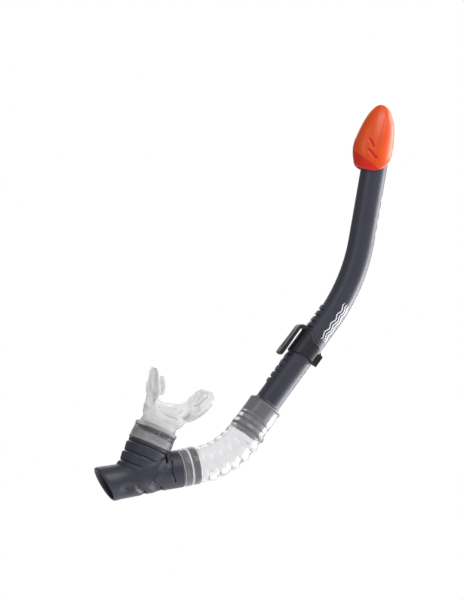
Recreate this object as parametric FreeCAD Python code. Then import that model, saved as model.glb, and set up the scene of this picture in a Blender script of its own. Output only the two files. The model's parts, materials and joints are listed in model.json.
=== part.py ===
"""Snorkel: bent barrel with splash guard, strap keeper, flexible hose, Y body with purge valve, mouthpiece.

The tube's centreline lies in the X-Z plane, +Z is up as the snorkel is worn, and the origin is the
centre of the slot in the keeper that the mask strap passes through. All sizes are in millimetres.
"""
import FreeCAD, Part
import math
import os

V = FreeCAD.Vector

# Centreline of the tube
LEAN_LOWER = 37.2          # lower straight, degrees from vertical
LEAN_UPPER = 10.2          # upper straight, degrees from vertical
BEND_R = 161.7             # bend between the two straights
KEEPER_TO_BEND = 31.2      # from the keeper up to the bend
KEEPER_TO_HOSE = 60.6      # from the keeper down to the hose's rim
UPPER_STRAIGHT = 61.1      # from the bend up to the splash guard's lip
HOSE_BEND_R = 67.5
BODY_RISE = 11.4           # Y body's axis, degrees above horizontal

# Barrel
BARREL_R = 11.25
BARREL_WALL = 1.75
NECK_WALL = 1.0            # thinner wall of the necked top, inside the splash guard
NECK_DROP = 3.0            # the neck starts this far below the guard's lip on its low side
NECK_TOP = 14.0            # open end, above the lip
RACK_PROUD = 0.7           # toothed rack along the strap side
RACK_ROOT = 0.6            # the rack starts this far outside the bore, inside the barrel's wall
RACK_WIDTH = 7.0
RACK_BELOW = 44.0
RACK_ABOVE = 40.0
TOOTH_PITCH = 6.05
TOOTH_WIDTH = 1.8
TOOTH_DEPTH = 0.9
NOTCH_COUNT = 4            # scalloped grip notches above the bend
NOTCH_PITCH = 9.9
NOTCH_START = 7.7
NOTCH_R = 3.6
NOTCH_DEPTH = 1.0

# Spigots that the hose's cuffs are pushed onto
SPIGOT_LENGTH = 30.0
BODY_SPIGOT_LENGTH = 13.0
BARB_PROUD = 0.65
BARB_WIDTH = 2.2
BARB_PITCH = 5.6
BARB_FROM_TIP = 1.5
BARREL_BARBS = 3
BODY_BARBS = 2
STOP_RING_PROUD = 1.05
STOP_RING_WIDTH = 1.6
TURNING_FIT = 0.06         # radial clearance of every part that turns or slides on another
SIDE_PLAY = 0.4            # room beside a barb or a ring, along the axis
PUSH_FIT = 0.05            # radial clearance of parts that stay put
JOINT_GAP = 0.3            # between faces of parts that move past each other

# Construction
SPARE = 1.0                # cuts run this far past the faces that they open
BITE = 0.5                 # joined shapes run this far into each other
BEYOND = 40.0              # larger than any section of the snorkel

# Hose
CUFF_WALL = 3.4
LOWER_CUFF_WALL = 3.6
LOWER_BAND_PROUD = 1.4
LOWER_BAND_WIDTH = 5.4
LOWER_BAND_GAP = 0.8       # before each of the two bands
UPPER_CUFF_LENGTH = 32.0
LOWER_CUFF_LENGTH = 14.4
HOSE_PROUD = 0.9           # corrugations stand this far above the upper cuff
HOSE_WALL = 2.6            # from the hose's bore to the top of its corrugations

# Splash guard. Each cross-section is its height above the lip, and how much further than the
# sleeve's wall it reaches on the intake's side, on the plain side and in depth.
GUARD_SECTIONS = [
    (-4.0, 4.5, 0.0, 0.5),
    (7.0, 8.3, 0.1, 1.2),
    (18.0, 9.2, 0.0, 1.4),
    (32.0, 7.6, -0.8, 0.4),
    (44.0, 4.0, -3.7, -2.3),
    (52.0, -0.8, -8.3, -6.1),
    (56.0, -4.6, -15.7, -10.3),
]
GUARD_CROWN = 50.0         # sections above this height close the hood's roof
GUARD_WALL = 1.4
GUARD_SLEEVE_TOP = 12.0
GUARD_LIP = [(-22.0, 6.5), (-6.0, -0.8), (13.0, 12.4)]   # the lip is an arc through these points
GUARD_SLOTS = [(-5.7, 22.6, 6.5, 60.0), (-4.0, 13.6, 10.5, 40.0)]   # across, up, length, slant
GUARD_SLOT_WIDTH = 2.0
GUARD_SLOT_STOP = 0.8      # the slots stop this far inside the sleeve's surface
GUARD_TIP = 0.35           # half width of the smallest section drawn
BAFFLE_RING_HEIGHT = 2.5
BAFFLE_RING_INSET = 0.6    # the baffle's ring is this much smaller than the neck it stands on
BAFFLE_BORE_INSET = 1.2
BAFFLE_DISC_R = 9.4
BAFFLE_RISE = 11.0
BAFFLE_POST_R = 1.0
BAFFLE_POST_INSET = 1.1    # from the disc's edge to the middle of a post
BAFFLE_POSTS = 3
BAFFLE_THICKNESS = 1.3

# Strap keeper
KEEPER_WALL = 1.3
KEEPER_OPENING = 60.0      # degrees left open on the side away from the strap
KEEPER_LOWER_EDGE = [(20.0, -11.5), (9.0, -10.0), (1.0, -7.2), (-12.0, -7.2), (-20.0, -9.4)]
KEEPER_UPPER_EDGE = [(-20.0, 1.6), (-13.0, 1.6), (-7.0, 6.5), (2.0, 7.6), (7.5, 13.0), (20.0, 14.5)]
KEEPER_LIP_REACH = 4.2     # how far the thumb lips stand out from the collar
KEEPER_LIP_THICKNESS = 1.8
KEEPER_LIP_TURN = 4.5      # degrees from the collar's open end to the middle of its lip
STRAP_GAP = 3.0            # room for the strap
PADDLE_THICKNESS = 2.4
PADDLE_WIDTH = 13.0
PADDLE_TAIL = 18.6         # below the middle of the slot
PADDLE_HEAD = 14.5         # above the middle of the slot, at the top of its bend

# Y body
BODY_R = 16.4
DRAIN_TAPER = 1.2          # the drain's tube is this much slimmer than the body
DRAIN_FLARE = 0.7          # past the waist it widens again, towards its mouth
BODY_LENGTH = 71.0         # from the cuff to the middle of the drain's mouth
BODY_WALL = 3.4
SEAT_LEDGE = 0.8
DRAIN_SLANT = 19.0         # mouth cut, degrees off square
BRANCH_LEAN = 24.0         # degrees from vertical
BRANCH_FROM_CUFF = 43.0    # where the branch's axis meets the body's
BRANCH_INSET = 0.8         # the branch's foot is this much narrower than the body, in depth
BRANCH_LENGTH = 31.0       # along its axis, up to the mouthpiece's cuff
STUB_R = 16.4
STUB_WALL = 2.2
STUB_LENGTH = 14.5
STUB_RING_PROUD = 0.5      # ring on the stub that holds the mouthpiece's cuff
STUB_RING_WIDTH = 1.5
STUB_RING_BELOW = 4.5
RECESS_GAP = 0.4           # round the mouthpiece's cuff, where it dips beside the body
BODY_WAIST = 14.0          # from the drain's mouth to where its flare starts
MOUTH_DIP = 8.0            # the mouthpiece's recess in the body ends this far below the stub's top
GROOVES = 3
GROOVE_FIRST = 4.5         # from the branch's top to its first groove
GROOVE_REACH = 0.6         # the grooves end at this share of the branch's radius, past its middle
GROOVE_PITCH = 7.0
GROOVE_WIDTH = 1.2
GROOVE_DEPTH = 0.9

# Mouthpiece
MOUTH_CUFF_WALL = 2.4
BAND_SUNK = 0.2            # the band lies this far below the cuff's surface
BAND_THICKNESS = 0.8
BAND_HEIGHT = 5.0
BAND_BELOW_RIM = 1.6
BAND_SPLIT = 1.2
BAND_PLAY = 0.1            # above and below the band, in its groove
MOUTH_TILT = 26.0          # towards -Y
MOUTH_ROLL = 13.5          # about its own axis
NECK_LENGTH = 17.0
NECK_END = 8.0             # the neck runs this far past the shield's middle, to meet its curve
NECK_OVAL = (16.0, 11.0)
MOUTH_NECK_WALL = 2.3
NECK_STEP = 1.2            # the neck starts this far inside the cuff's surface, at a small step
MOUTH_CUFF_TOP = 1.5       # the cuff runs this far past the stub's top
SHIELD_R = 27.0
SHIELD_ARC = 66.0          # half angle of the curved middle
SHIELD_WING = 14.0         # straight stretch of each wing
SHIELD_THICKNESS = 2.2
SHIELD_HALF_HEIGHT = 14.0
TAB_LENGTH = 12.0
TAB_OFFSET = 7.0
WEB_THICKNESS = 3.0
TAB_HALF_HEIGHT = 6.5
TAB_THICKNESS = 2.6

# Purge valve
VALVE_FROM_MOUTH = 20.0
SEAT_THICKNESS = 2.0
SEAT_RING = 2.0
SEAT_HUB_R = 3.2
SEAT_SPOKES = 4
SPOKE_WIDTH = 1.8
FLAP_MARGIN = 1.4          # the membrane is this much smaller than the drain's bore
FLAP_THICKNESS = 0.9
STEM_R = 1.4
BULB_R = 2.3
BULB_LENGTH = 3.0
FLAP_GAP = 0.1             # between the membrane and its seat
PURGE_TRAVEL = 1.2


def direction(lean):
    """Unit vector in the X-Z plane that leans this many degrees from vertical towards +X."""
    angle = math.radians(lean)
    return V(math.sin(angle), 0, math.cos(angle))


LOWER = direction(LEAN_LOWER)
UPPER = direction(LEAN_UPPER)
STRAP_SIDE = direction(LEAN_LOWER - 90)
UPPER_RIGHT = direction(LEAN_UPPER + 90)
BODY = direction(90 - BODY_RISE)
BRANCH = direction(BRANCH_LEAN)
ACROSS = V(0, 1, 0)

# Radii of what fits over, in or round the pieces above
BARREL_BORE_R = BARREL_R - BARREL_WALL
NECK_R = BARREL_BORE_R + NECK_WALL
BARB_R = BARREL_R + BARB_PROUD
STOP_RING_R = BARREL_R + STOP_RING_PROUD
CUFF_R = BARREL_R + TURNING_FIT + CUFF_WALL
LOWER_CUFF_R = BARREL_R + TURNING_FIT + LOWER_CUFF_WALL
LOWER_BAND_R = LOWER_CUFF_R + LOWER_BAND_PROUD
HOSE_R = CUFF_R + HOSE_PROUD
HOSE_BORE_R = HOSE_R - HOSE_WALL
GUARD_SLEEVE_R = NECK_R + PUSH_FIT + GUARD_WALL
BODY_BORE_R = BODY_R - BODY_WALL
BRANCH_DEPTH_R = BODY_R - BRANCH_INSET
BRANCH_BORE_R = STUB_R - STUB_WALL
STUB_RING_R = STUB_R + STUB_RING_PROUD
MOUTH_CUFF_R = STUB_R + TURNING_FIT + MOUTH_CUFF_WALL
BRANCH_R = MOUTH_CUFF_R
BAND_R = MOUTH_CUFF_R - BAND_SUNK

# Places along the centreline
COLLAR_R = BARREL_R + RACK_PROUD + TURNING_FIT + KEEPER_WALL
SLOT_FROM_AXIS = COLLAR_R + STRAP_GAP / 2
KEEPER_POINT = STRAP_SIDE * -SLOT_FROM_AXIS
BEND_START = KEEPER_POINT + LOWER * KEEPER_TO_BEND
BEND_CENTRE = BEND_START + STRAP_SIDE * BEND_R
BEND_END = BEND_CENTRE + UPPER_RIGHT * BEND_R
GUARD_POINT = BEND_END + UPPER * UPPER_STRAIGHT
HOSE_RIM = KEEPER_POINT - LOWER * KEEPER_TO_HOSE
HOSE_ARC_START = HOSE_RIM - LOWER * UPPER_CUFF_LENGTH
HOSE_TURN = 90 - BODY_RISE - LEAN_LOWER
HOSE_CENTRE = HOSE_ARC_START + STRAP_SIDE * HOSE_BEND_R
HOSE_ARC_END = HOSE_CENTRE - direction(-BODY_RISE) * HOSE_BEND_R
HOSE_MIDDLE = HOSE_CENTRE - direction(LEAN_LOWER - 90 + HOSE_TURN / 2) * HOSE_BEND_R
CUFF_END = HOSE_ARC_END - BODY * LOWER_CUFF_LENGTH
BODY_SHOULDER = CUFF_END - BODY * JOINT_GAP
DRAIN_MOUTH = CUFF_END - BODY * BODY_LENGTH
BRANCH_ROOT = CUFF_END - BODY * BRANCH_FROM_CUFF
CUFF_SEAT = BRANCH_ROOT + BRANCH * BRANCH_LENGTH
STUB_TOP = CUFF_SEAT + BRANCH * STUB_LENGTH


def cylinder(radius, start, end):
    return Part.makeCylinder(radius, (end - start).Length, start, end - start)


def tube(outer, inner, start, end):
    """Straight tube; the bore runs past both ends so that no skin is left."""
    spare = (end - start).normalize() * SPARE
    return cylinder(outer, start, end).cut(cylinder(inner, start - spare, end + spare))


def cone(radius_start, radius_end, start, end):
    return Part.makeCone(radius_start, radius_end, (end - start).Length, start, end - start)


def arc_tube(radius, start, tangent, centre, angle):
    """Solid rod of this radius bent about centre, turning by angle degrees about +Y."""
    section = Part.Face(Part.Wire(Part.Circle(start, tangent, radius).toShape()))
    return section.revolve(centre, ACROSS, angle)


def union(shapes):
    joined = shapes[0]
    for shape in shapes[1:]:
        joined = joined.fuse(shape)
    return joined.removeSplitter()


def place(shape, origin, x_axis, z_axis):
    """Move a shape from the local frame to origin, its X and Z along the given directions."""
    y_axis = z_axis.cross(x_axis)
    matrix = FreeCAD.Matrix(
        x_axis.x, y_axis.x, z_axis.x, origin.x,
        x_axis.y, y_axis.y, z_axis.y, origin.y,
        x_axis.z, y_axis.z, z_axis.z, origin.z,
        0, 0, 0, 1)
    placed = shape.copy()
    placed.transformShape(matrix)
    return placed


def box(low, high):
    return Part.makeBox(high[0] - low[0], high[1] - low[1], high[2] - low[2], V(*low))


def ellipse_wire(centre_x, height, half_width, half_depth):
    """Ellipse in a plane of constant height, with its long axis along X."""
    if half_depth > half_width:
        curve = Part.Ellipse(V(centre_x, half_depth, height), V(centre_x + half_width, 0, height),
                             V(centre_x, 0, height))
    else:
        curve = Part.Ellipse(V(centre_x + half_width, 0, height), V(centre_x, half_depth, height),
                             V(centre_x, 0, height))
    return Part.Wire(curve.toShape())


# Barrel ------------------------------------------------------------------------------------------

def spigot_barbs(tip, towards_seat, count):
    """Rings that hold a cuff, counted from the spigot's tip."""
    barbs = []
    for index in range(count):
        start = tip + towards_seat * (BARB_FROM_TIP + index * BARB_PITCH)
        barbs.append(cylinder(BARB_R, start, start + towards_seat * BARB_WIDTH))
    return barbs


def barb_grooves(tip, towards_seat, count):
    """The same rings with turning clearance, to be cut from a cuff."""
    grooves = []
    for index in range(count):
        start = tip + towards_seat * (BARB_FROM_TIP + index * BARB_PITCH - SIDE_PLAY)
        length = BARB_WIDTH + 2 * SIDE_PLAY
        grooves.append(cylinder(BARB_R + TURNING_FIT, start, start + towards_seat * length))
    return grooves


def barrel_rod(radius):
    """The barrel's path filled solid, from the spigot's tip to the neck."""
    lower = cylinder(radius, HOSE_RIM - LOWER * SPIGOT_LENGTH, BEND_START)
    bend = arc_tube(radius, BEND_START, LOWER, BEND_CENTRE, LEAN_UPPER - LEAN_LOWER)
    upper = cylinder(radius, BEND_END, GUARD_POINT - UPPER * NECK_DROP)
    return [lower, bend, upper]


def rack():
    """Raised rib on the strap side, running a little way into the bend, with index teeth."""
    reach = BARREL_R + RACK_PROUD
    root = BARREL_BORE_R + RACK_ROOT
    half = RACK_WIDTH / 2
    straight = box((root, -half, -RACK_BELOW), (reach, half, KEEPER_TO_BEND))
    rib = [place(straight, KEEPER_POINT, STRAP_SIDE, LOWER)]
    corners = [(root, -half), (reach, -half), (reach, half), (root, half)]
    points = [BEND_START + STRAP_SIDE * x + ACROSS * y for x, y in corners]
    section = Part.Face(Part.makePolygon(points + points[:1]))
    sweep = math.degrees((RACK_ABOVE - KEEPER_TO_BEND) / BEND_R)
    rib.append(section.revolve(BEND_CENTRE, ACROSS, -sweep))
    return rib


def rack_teeth():
    """Cuts across the rib, one pitch apart along the centreline."""
    cuts = []
    count = int((RACK_BELOW + RACK_ABOVE) / TOOTH_PITCH)
    for index in range(count):
        along = -RACK_BELOW + (index + 0.5) * TOOTH_PITCH
        past_bend = max(0.0, along - KEEPER_TO_BEND)
        turned = math.degrees(past_bend / BEND_R)
        outward = direction(LEAN_LOWER - turned - 90)
        forward = direction(LEAN_LOWER - turned)
        if past_bend:
            point = BEND_CENTRE - outward * BEND_R
        else:
            point = KEEPER_POINT + LOWER * along
        bottom = BARREL_R + RACK_PROUD - TOOTH_DEPTH
        cut = box((bottom, -RACK_WIDTH, -TOOTH_WIDTH / 2),
                  (bottom + TOOTH_DEPTH + SPARE, RACK_WIDTH, TOOTH_WIDTH / 2))
        cuts.append(place(cut, point, outward, forward))
    return cuts


def grip_notches():
    cuts = []
    for index in range(NOTCH_COUNT):
        along = NOTCH_START + index * NOTCH_PITCH
        middle = BEND_END + UPPER * along + UPPER_RIGHT * (BARREL_R - NOTCH_DEPTH + NOTCH_R)
        cuts.append(cylinder(NOTCH_R, middle - ACROSS * BARREL_R, middle + ACROSS * BARREL_R))
    return cuts


def barrel_tube():
    neck_start = GUARD_POINT - UPPER * NECK_DROP
    neck = cylinder(NECK_R, neck_start, GUARD_POINT + UPPER * NECK_TOP)
    stop_ring = cylinder(STOP_RING_R, HOSE_RIM + LOWER * JOINT_GAP,
                         HOSE_RIM + LOWER * (JOINT_GAP + STOP_RING_WIDTH))
    tip = HOSE_RIM - LOWER * SPIGOT_LENGTH
    solid = union(barrel_rod(BARREL_R) + [neck, stop_ring] + rack()
                  + spigot_barbs(tip, LOWER, BARREL_BARBS))
    bore = union([
        cylinder(BARREL_BORE_R, tip - LOWER * SPARE, BEND_START),
        arc_tube(BARREL_BORE_R, BEND_START, LOWER, BEND_CENTRE, LEAN_UPPER - LEAN_LOWER),
        cylinder(BARREL_BORE_R, BEND_END, GUARD_POINT + UPPER * (NECK_TOP + SPARE)),
    ])
    for cut in [bore] + rack_teeth() + grip_notches():
        solid = solid.cut(cut)
    return solid.removeSplitter()


# Splash guard ------------------------------------------------------------------------------------

def guard_form(inset):
    """The hood's outer form, or the same form drawn in all round by inset."""
    wires = []
    for height, left, right, depth in GUARD_SECTIONS:
        half_width = max(GUARD_SLEEVE_R + (left + right) / 2 - inset, GUARD_TIP)
        half_depth = max(GUARD_SLEEVE_R + depth - inset, GUARD_TIP)
        lowered = height - inset if height > GUARD_CROWN else height
        wires.append(ellipse_wire((right - left) / 2, lowered, half_width, half_depth))
    return Part.makeLoft(wires, True, False)


def below_lip():
    """Everything under the lip's arc, to be cut from the hood."""
    left, middle, right = [V(x, -BEYOND, z) for x, z in GUARD_LIP]
    floor_left = V(left.x, -BEYOND, -BEYOND)
    floor_right = V(right.x, -BEYOND, -BEYOND)
    outline = Part.Wire([
        Part.Arc(left, middle, right).toShape(),
        Part.LineSegment(right, floor_right).toShape(),
        Part.LineSegment(floor_right, floor_left).toShape(),
        Part.LineSegment(floor_left, left).toShape(),
    ])
    return Part.Face(outline).extrude(V(0, 2 * BEYOND, 0))


def guard_slots():
    """Slanted drain slots through the hood's front and back."""
    cuts = []
    for across, height, length, slant in GUARD_SLOTS:
        half_width = GUARD_SLOT_WIDTH / 2
        cut = box((-length / 2, -BEYOND, -half_width), (length / 2, BEYOND, half_width))
        inner_half = GUARD_SLEEVE_R - GUARD_SLOT_STOP
        inner = box((-length, -inner_half, -length), (length, inner_half, length))
        cut = cut.cut(inner)
        cut.rotate(V(0, 0, 0), ACROSS, slant)
        cut.translate(V(across, 0, height))
        cuts.append(cut)
    return cuts


def splash_guard_hood():
    outer = guard_form(0)
    hollow = guard_form(GUARD_WALL)
    shell = outer.cut(hollow)
    foot = GUARD_SECTIONS[0][0]
    sleeve = Part.makeCylinder(GUARD_SLEEVE_R, GUARD_SLEEVE_TOP - foot, V(0, 0, foot)).common(outer)
    hood = shell.fuse(sleeve)
    hood = hood.cut(Part.makeCylinder(NECK_R + PUSH_FIT, NECK_TOP - foot + SPARE, V(0, 0, foot - SPARE)))
    for cut in [below_lip()] + guard_slots():
        hood = hood.cut(cut)
    hood = max(hood.Solids, key=lambda solid: solid.Volume)
    return place(hood, GUARD_POINT, UPPER_RIGHT, UPPER)


def splash_guard_baffle():
    """Ring on the neck's end, three posts and a disc that shadows the bore."""
    ring_r = NECK_R - BAFFLE_RING_INSET
    bore_r = BARREL_BORE_R - BAFFLE_BORE_INSET
    ring = Part.makeCylinder(ring_r, BAFFLE_RING_HEIGHT, V(0, 0, NECK_TOP + PUSH_FIT))
    ring = ring.cut(Part.makeCylinder(bore_r, BEYOND, V(0, 0, 0)))
    spring_up = NECK_TOP + BAFFLE_RING_HEIGHT - BITE
    disc_height = NECK_TOP + BAFFLE_RISE
    disc = Part.makeCylinder(BAFFLE_DISC_R, BAFFLE_THICKNESS, V(0, 0, disc_height))
    post_circle = BAFFLE_DISC_R - BAFFLE_POST_INSET
    posts = []
    for index in range(BAFFLE_POSTS):
        angle = math.radians(360 * index / BAFFLE_POSTS)
        foot = V(post_circle * math.cos(angle), post_circle * math.sin(angle), spring_up)
        posts.append(Part.makeCylinder(BAFFLE_POST_R, disc_height - spring_up + BITE, foot))
    baffle = union([ring, disc] + posts)
    return place(baffle, GUARD_POINT, UPPER_RIGHT, UPPER)


# Strap keeper ------------------------------------------------------------------------------------

def keeper_side_form():
    """The collar's outline seen from the side: long at the strap, short at the open ends."""
    points = [V(x, -BEYOND, z) for x, z in KEEPER_LOWER_EDGE + KEEPER_UPPER_EDGE]
    return Part.Face(Part.makePolygon(points + points[:1])).extrude(V(0, 2 * BEYOND, 0))


def keeper_opening():
    """Wedge cut from the collar, opposite the strap."""
    spread = BEYOND * math.tan(math.radians(KEEPER_OPENING / 2))
    points = [V(0, 0, -BEYOND), V(-BEYOND, -spread, -BEYOND), V(-BEYOND, spread, -BEYOND)]
    return Part.Face(Part.makePolygon(points + points[:1])).extrude(V(0, 0, 2 * BEYOND))


def keeper_lips():
    """Thumb lips that stand out from the collar's two open ends."""
    lips = []
    for side in (-1, 1):
        lip = box((COLLAR_R - KEEPER_WALL, -KEEPER_LIP_THICKNESS / 2, -BEYOND),
                  (COLLAR_R + KEEPER_LIP_REACH, KEEPER_LIP_THICKNESS / 2, BEYOND))
        lip.rotate(V(0, 0, 0), V(0, 0, 1), 180 + side * (KEEPER_OPENING / 2 + KEEPER_LIP_TURN))
        lips.append(lip)
    return lips


def strap_keeper():
    sleeve_r = BARREL_R + TURNING_FIT
    collar = Part.makeCylinder(COLLAR_R, 2 * BEYOND, V(0, 0, -BEYOND)).cut(keeper_opening())
    collar = collar.fuse(keeper_lips())
    collar = collar.common(keeper_side_form())
    paddle_in = COLLAR_R + STRAP_GAP
    paddle_out = paddle_in + PADDLE_THICKNESS
    half = PADDLE_WIDTH / 2
    paddle = box((sleeve_r, -half, PADDLE_HEAD - PADDLE_THICKNESS), (paddle_out, half, PADDLE_HEAD))
    paddle = paddle.fuse(box((paddle_in, -half, -PADDLE_TAIL), (paddle_out, half, PADDLE_HEAD)))
    keeper = union([collar, paddle])
    keeper = keeper.cut(Part.makeCylinder(sleeve_r, 2 * BEYOND, V(0, 0, -BEYOND)))
    channel_half = RACK_WIDTH / 2 + TURNING_FIT
    channel = box((0, -channel_half, -BEYOND), (COLLAR_R - KEEPER_WALL, channel_half, BEYOND))
    keeper = keeper.cut(channel).removeSplitter()
    return place(keeper, KEEPER_POINT, STRAP_SIDE, LOWER)


# Hose --------------------------------------------------------------------------------------------

def hose_upper_cuff():
    cuff = tube(CUFF_R, BARREL_R + TURNING_FIT, HOSE_ARC_START, HOSE_RIM)
    tip = HOSE_RIM - LOWER * SPIGOT_LENGTH
    for groove in barb_grooves(tip, LOWER, BARREL_BARBS):
        cuff = cuff.cut(groove)
    return cuff


def hose_bellows():
    """Bent tube between the cuffs, in the outer size of its corrugations."""
    outer = arc_tube(HOSE_R, HOSE_ARC_START, LOWER, HOSE_CENTRE, HOSE_TURN)
    bore = arc_tube(HOSE_BORE_R, HOSE_ARC_START, LOWER, HOSE_CENTRE, HOSE_TURN)
    return outer.cut(bore)


def hose_lower_cuff():
    """Short cuff with two round bands moulded on it."""
    start = HOSE_ARC_END - BODY * (JOINT_GAP / 2)
    solids = [cylinder(LOWER_CUFF_R, CUFF_END, start)]
    for index in range(2):
        band_start = CUFF_END + BODY * (LOWER_BAND_GAP + index * (LOWER_BAND_WIDTH + LOWER_BAND_GAP))
        solids.append(cylinder(LOWER_BAND_R, band_start, band_start + BODY * LOWER_BAND_WIDTH))
    cuff = union(solids)
    cuff = cuff.cut(cylinder(BARREL_R + TURNING_FIT, CUFF_END - BODY * SPARE, HOSE_ARC_END + BODY * SPARE))
    tip = CUFF_END + BODY * BODY_SPIGOT_LENGTH
    for groove in barb_grooves(tip, BODY * -1, BODY_BARBS):
        cuff = cuff.cut(groove)
    return cuff.removeSplitter()


# Y body ------------------------------------------------------------------------------------------

def branch_form():
    """The branch: round under the mouthpiece, narrower in depth where it joins the body."""
    foot = ellipse_wire(0, 0, BRANCH_R, BRANCH_DEPTH_R)
    head = ellipse_wire(0, BRANCH_LENGTH, BRANCH_R, BRANCH_R - 0.01)
    return place(Part.makeLoft([foot, head], True, True), BRANCH_ROOT, direction(BRANCH_LEAN + 90), BRANCH)


def branch_grooves():
    """Grooves round the branch that make it a stack of bands, on the drain's side only."""
    cuts = []
    for index in range(GROOVES):
        top = BRANCH_LENGTH - GROOVE_FIRST - index * GROOVE_PITCH
        ring = Part.makeCylinder(BRANCH_R + SPARE, GROOVE_WIDTH, V(0, 0, top))
        scale = 1 - (1 - BRANCH_DEPTH_R / BRANCH_R) * (1 - top / BRANCH_LENGTH)
        core = ellipse_wire(0, top - SPARE, BRANCH_R - GROOVE_DEPTH, BRANCH_R * scale - GROOVE_DEPTH)
        core = Part.Face(core).extrude(V(0, 0, GROOVE_WIDTH + 2 * SPARE))
        ring = ring.cut(core).common(box((-BEYOND, -BEYOND, 0), (BRANCH_R * GROOVE_REACH, BEYOND, BEYOND)))
        cuts.append(place(ring, BRANCH_ROOT, direction(BRANCH_LEAN + 90), BRANCH))
    return cuts


def body_housing():
    past_mouth = DRAIN_MOUTH - BODY * BODY_R
    waist = DRAIN_MOUTH + BODY * BODY_WAIST
    tip = CUFF_END + BODY * BODY_SPIGOT_LENGTH
    solid = union([
        cone(BODY_R, BODY_R - DRAIN_TAPER, BODY_SHOULDER, waist),
        cone(BODY_R - DRAIN_TAPER, BODY_R - DRAIN_TAPER + DRAIN_FLARE, waist, past_mouth),
        branch_form(),
        cylinder(BARREL_R, BODY_SHOULDER - BODY * SPARE, tip),
        cylinder(STUB_R, CUFF_SEAT - BRANCH * SPARE, STUB_TOP),
        cylinder(STUB_RING_R, STUB_TOP - BRANCH * (STUB_RING_BELOW + STUB_RING_WIDTH),
                 STUB_TOP - BRANCH * STUB_RING_BELOW),
    ] + spigot_barbs(tip, BODY * -1, BODY_BARBS))
    seat_face = DRAIN_MOUTH + BODY * (VALVE_FROM_MOUTH + SEAT_THICKNESS)
    chamber_end = CUFF_END - BODY * (BRANCH_FROM_CUFF - BRANCH_BORE_R)
    outward = direction(90 - BODY_RISE - DRAIN_SLANT) * -1
    beyond = place(box((-BEYOND, -BEYOND, 0), (BEYOND, BEYOND, BEYOND)), DRAIN_MOUTH, ACROSS, outward)
    cuts = [
        cylinder(BARREL_BORE_R, BRANCH_ROOT, tip + BODY * SPARE),
        cylinder(BODY_BORE_R, past_mouth - BODY * SPARE, seat_face),
        cylinder(BODY_BORE_R - SEAT_LEDGE, seat_face - BODY * SPARE, chamber_end),
        cylinder(BRANCH_BORE_R, BRANCH_ROOT, STUB_TOP + BRANCH * SPARE),
        tube(MOUTH_CUFF_R + RECESS_GAP, STUB_R, CUFF_SEAT, STUB_TOP - BRANCH * MOUTH_DIP),
        beyond,
    ]
    for cut in cuts + branch_grooves():
        solid = solid.cut(cut)
    return solid.removeSplitter()


# Purge valve -------------------------------------------------------------------------------------

def valve_point(along):
    """Point on the drain's axis, measured from the valve seat's outer face towards the hose."""
    return DRAIN_MOUTH + BODY * (VALVE_FROM_MOUTH + along)


def purge_valve_seat():
    """Ring and hub joined by spokes, pushed into the drain against its ledge."""
    outer_r = BODY_BORE_R - PUSH_FIT
    disc = cylinder(outer_r, valve_point(0), valve_point(SEAT_THICKNESS))
    windows_end = valve_point(SEAT_THICKNESS + SPARE)
    window = disc.common(tube(outer_r - SEAT_RING, SEAT_HUB_R, valve_point(-SPARE), windows_end))
    for index in range(SEAT_SPOKES // 2):
        bar = box((-BEYOND, -SPOKE_WIDTH / 2, -BEYOND), (BEYOND, SPOKE_WIDTH / 2, BEYOND))
        bar.rotate(V(0, 0, 0), V(0, 0, 1), (index + 0.5) * 360 / SEAT_SPOKES)
        window = window.cut(place(bar, valve_point(0), ACROSS, BODY))
    seat = disc.cut(window)
    return seat.cut(cylinder(STEM_R + TURNING_FIT, valve_point(-SPARE), windows_end))


def purge_valve_flap():
    """Membrane on the seat's outer face, with a stem through the hub and a bulb that keeps it there."""
    bulb_start = SEAT_THICKNESS + PURGE_TRAVEL + FLAP_GAP
    outer_face = -FLAP_GAP - FLAP_THICKNESS
    return union([
        cylinder(BODY_BORE_R - FLAP_MARGIN, valve_point(outer_face), valve_point(-FLAP_GAP)),
        cylinder(STEM_R, valve_point(outer_face / 2), valve_point(bulb_start + SPARE)),
        cone(BULB_R, STEM_R, valve_point(bulb_start), valve_point(bulb_start + BULB_LENGTH)),
    ])


# Mouthpiece --------------------------------------------------------------------------------------

def mouth_axes():
    """Across and forward directions of the shield, tilted and rolled from the branch's axis."""
    tilt = math.radians(MOUTH_TILT)
    forward = BRANCH * math.cos(tilt) - ACROSS * math.sin(tilt)
    level = direction(BRANCH_LEAN + 90)
    roll = math.radians(MOUTH_ROLL)
    across = level * math.cos(roll) + forward.cross(level) * math.sin(roll)
    return across, forward


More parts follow.
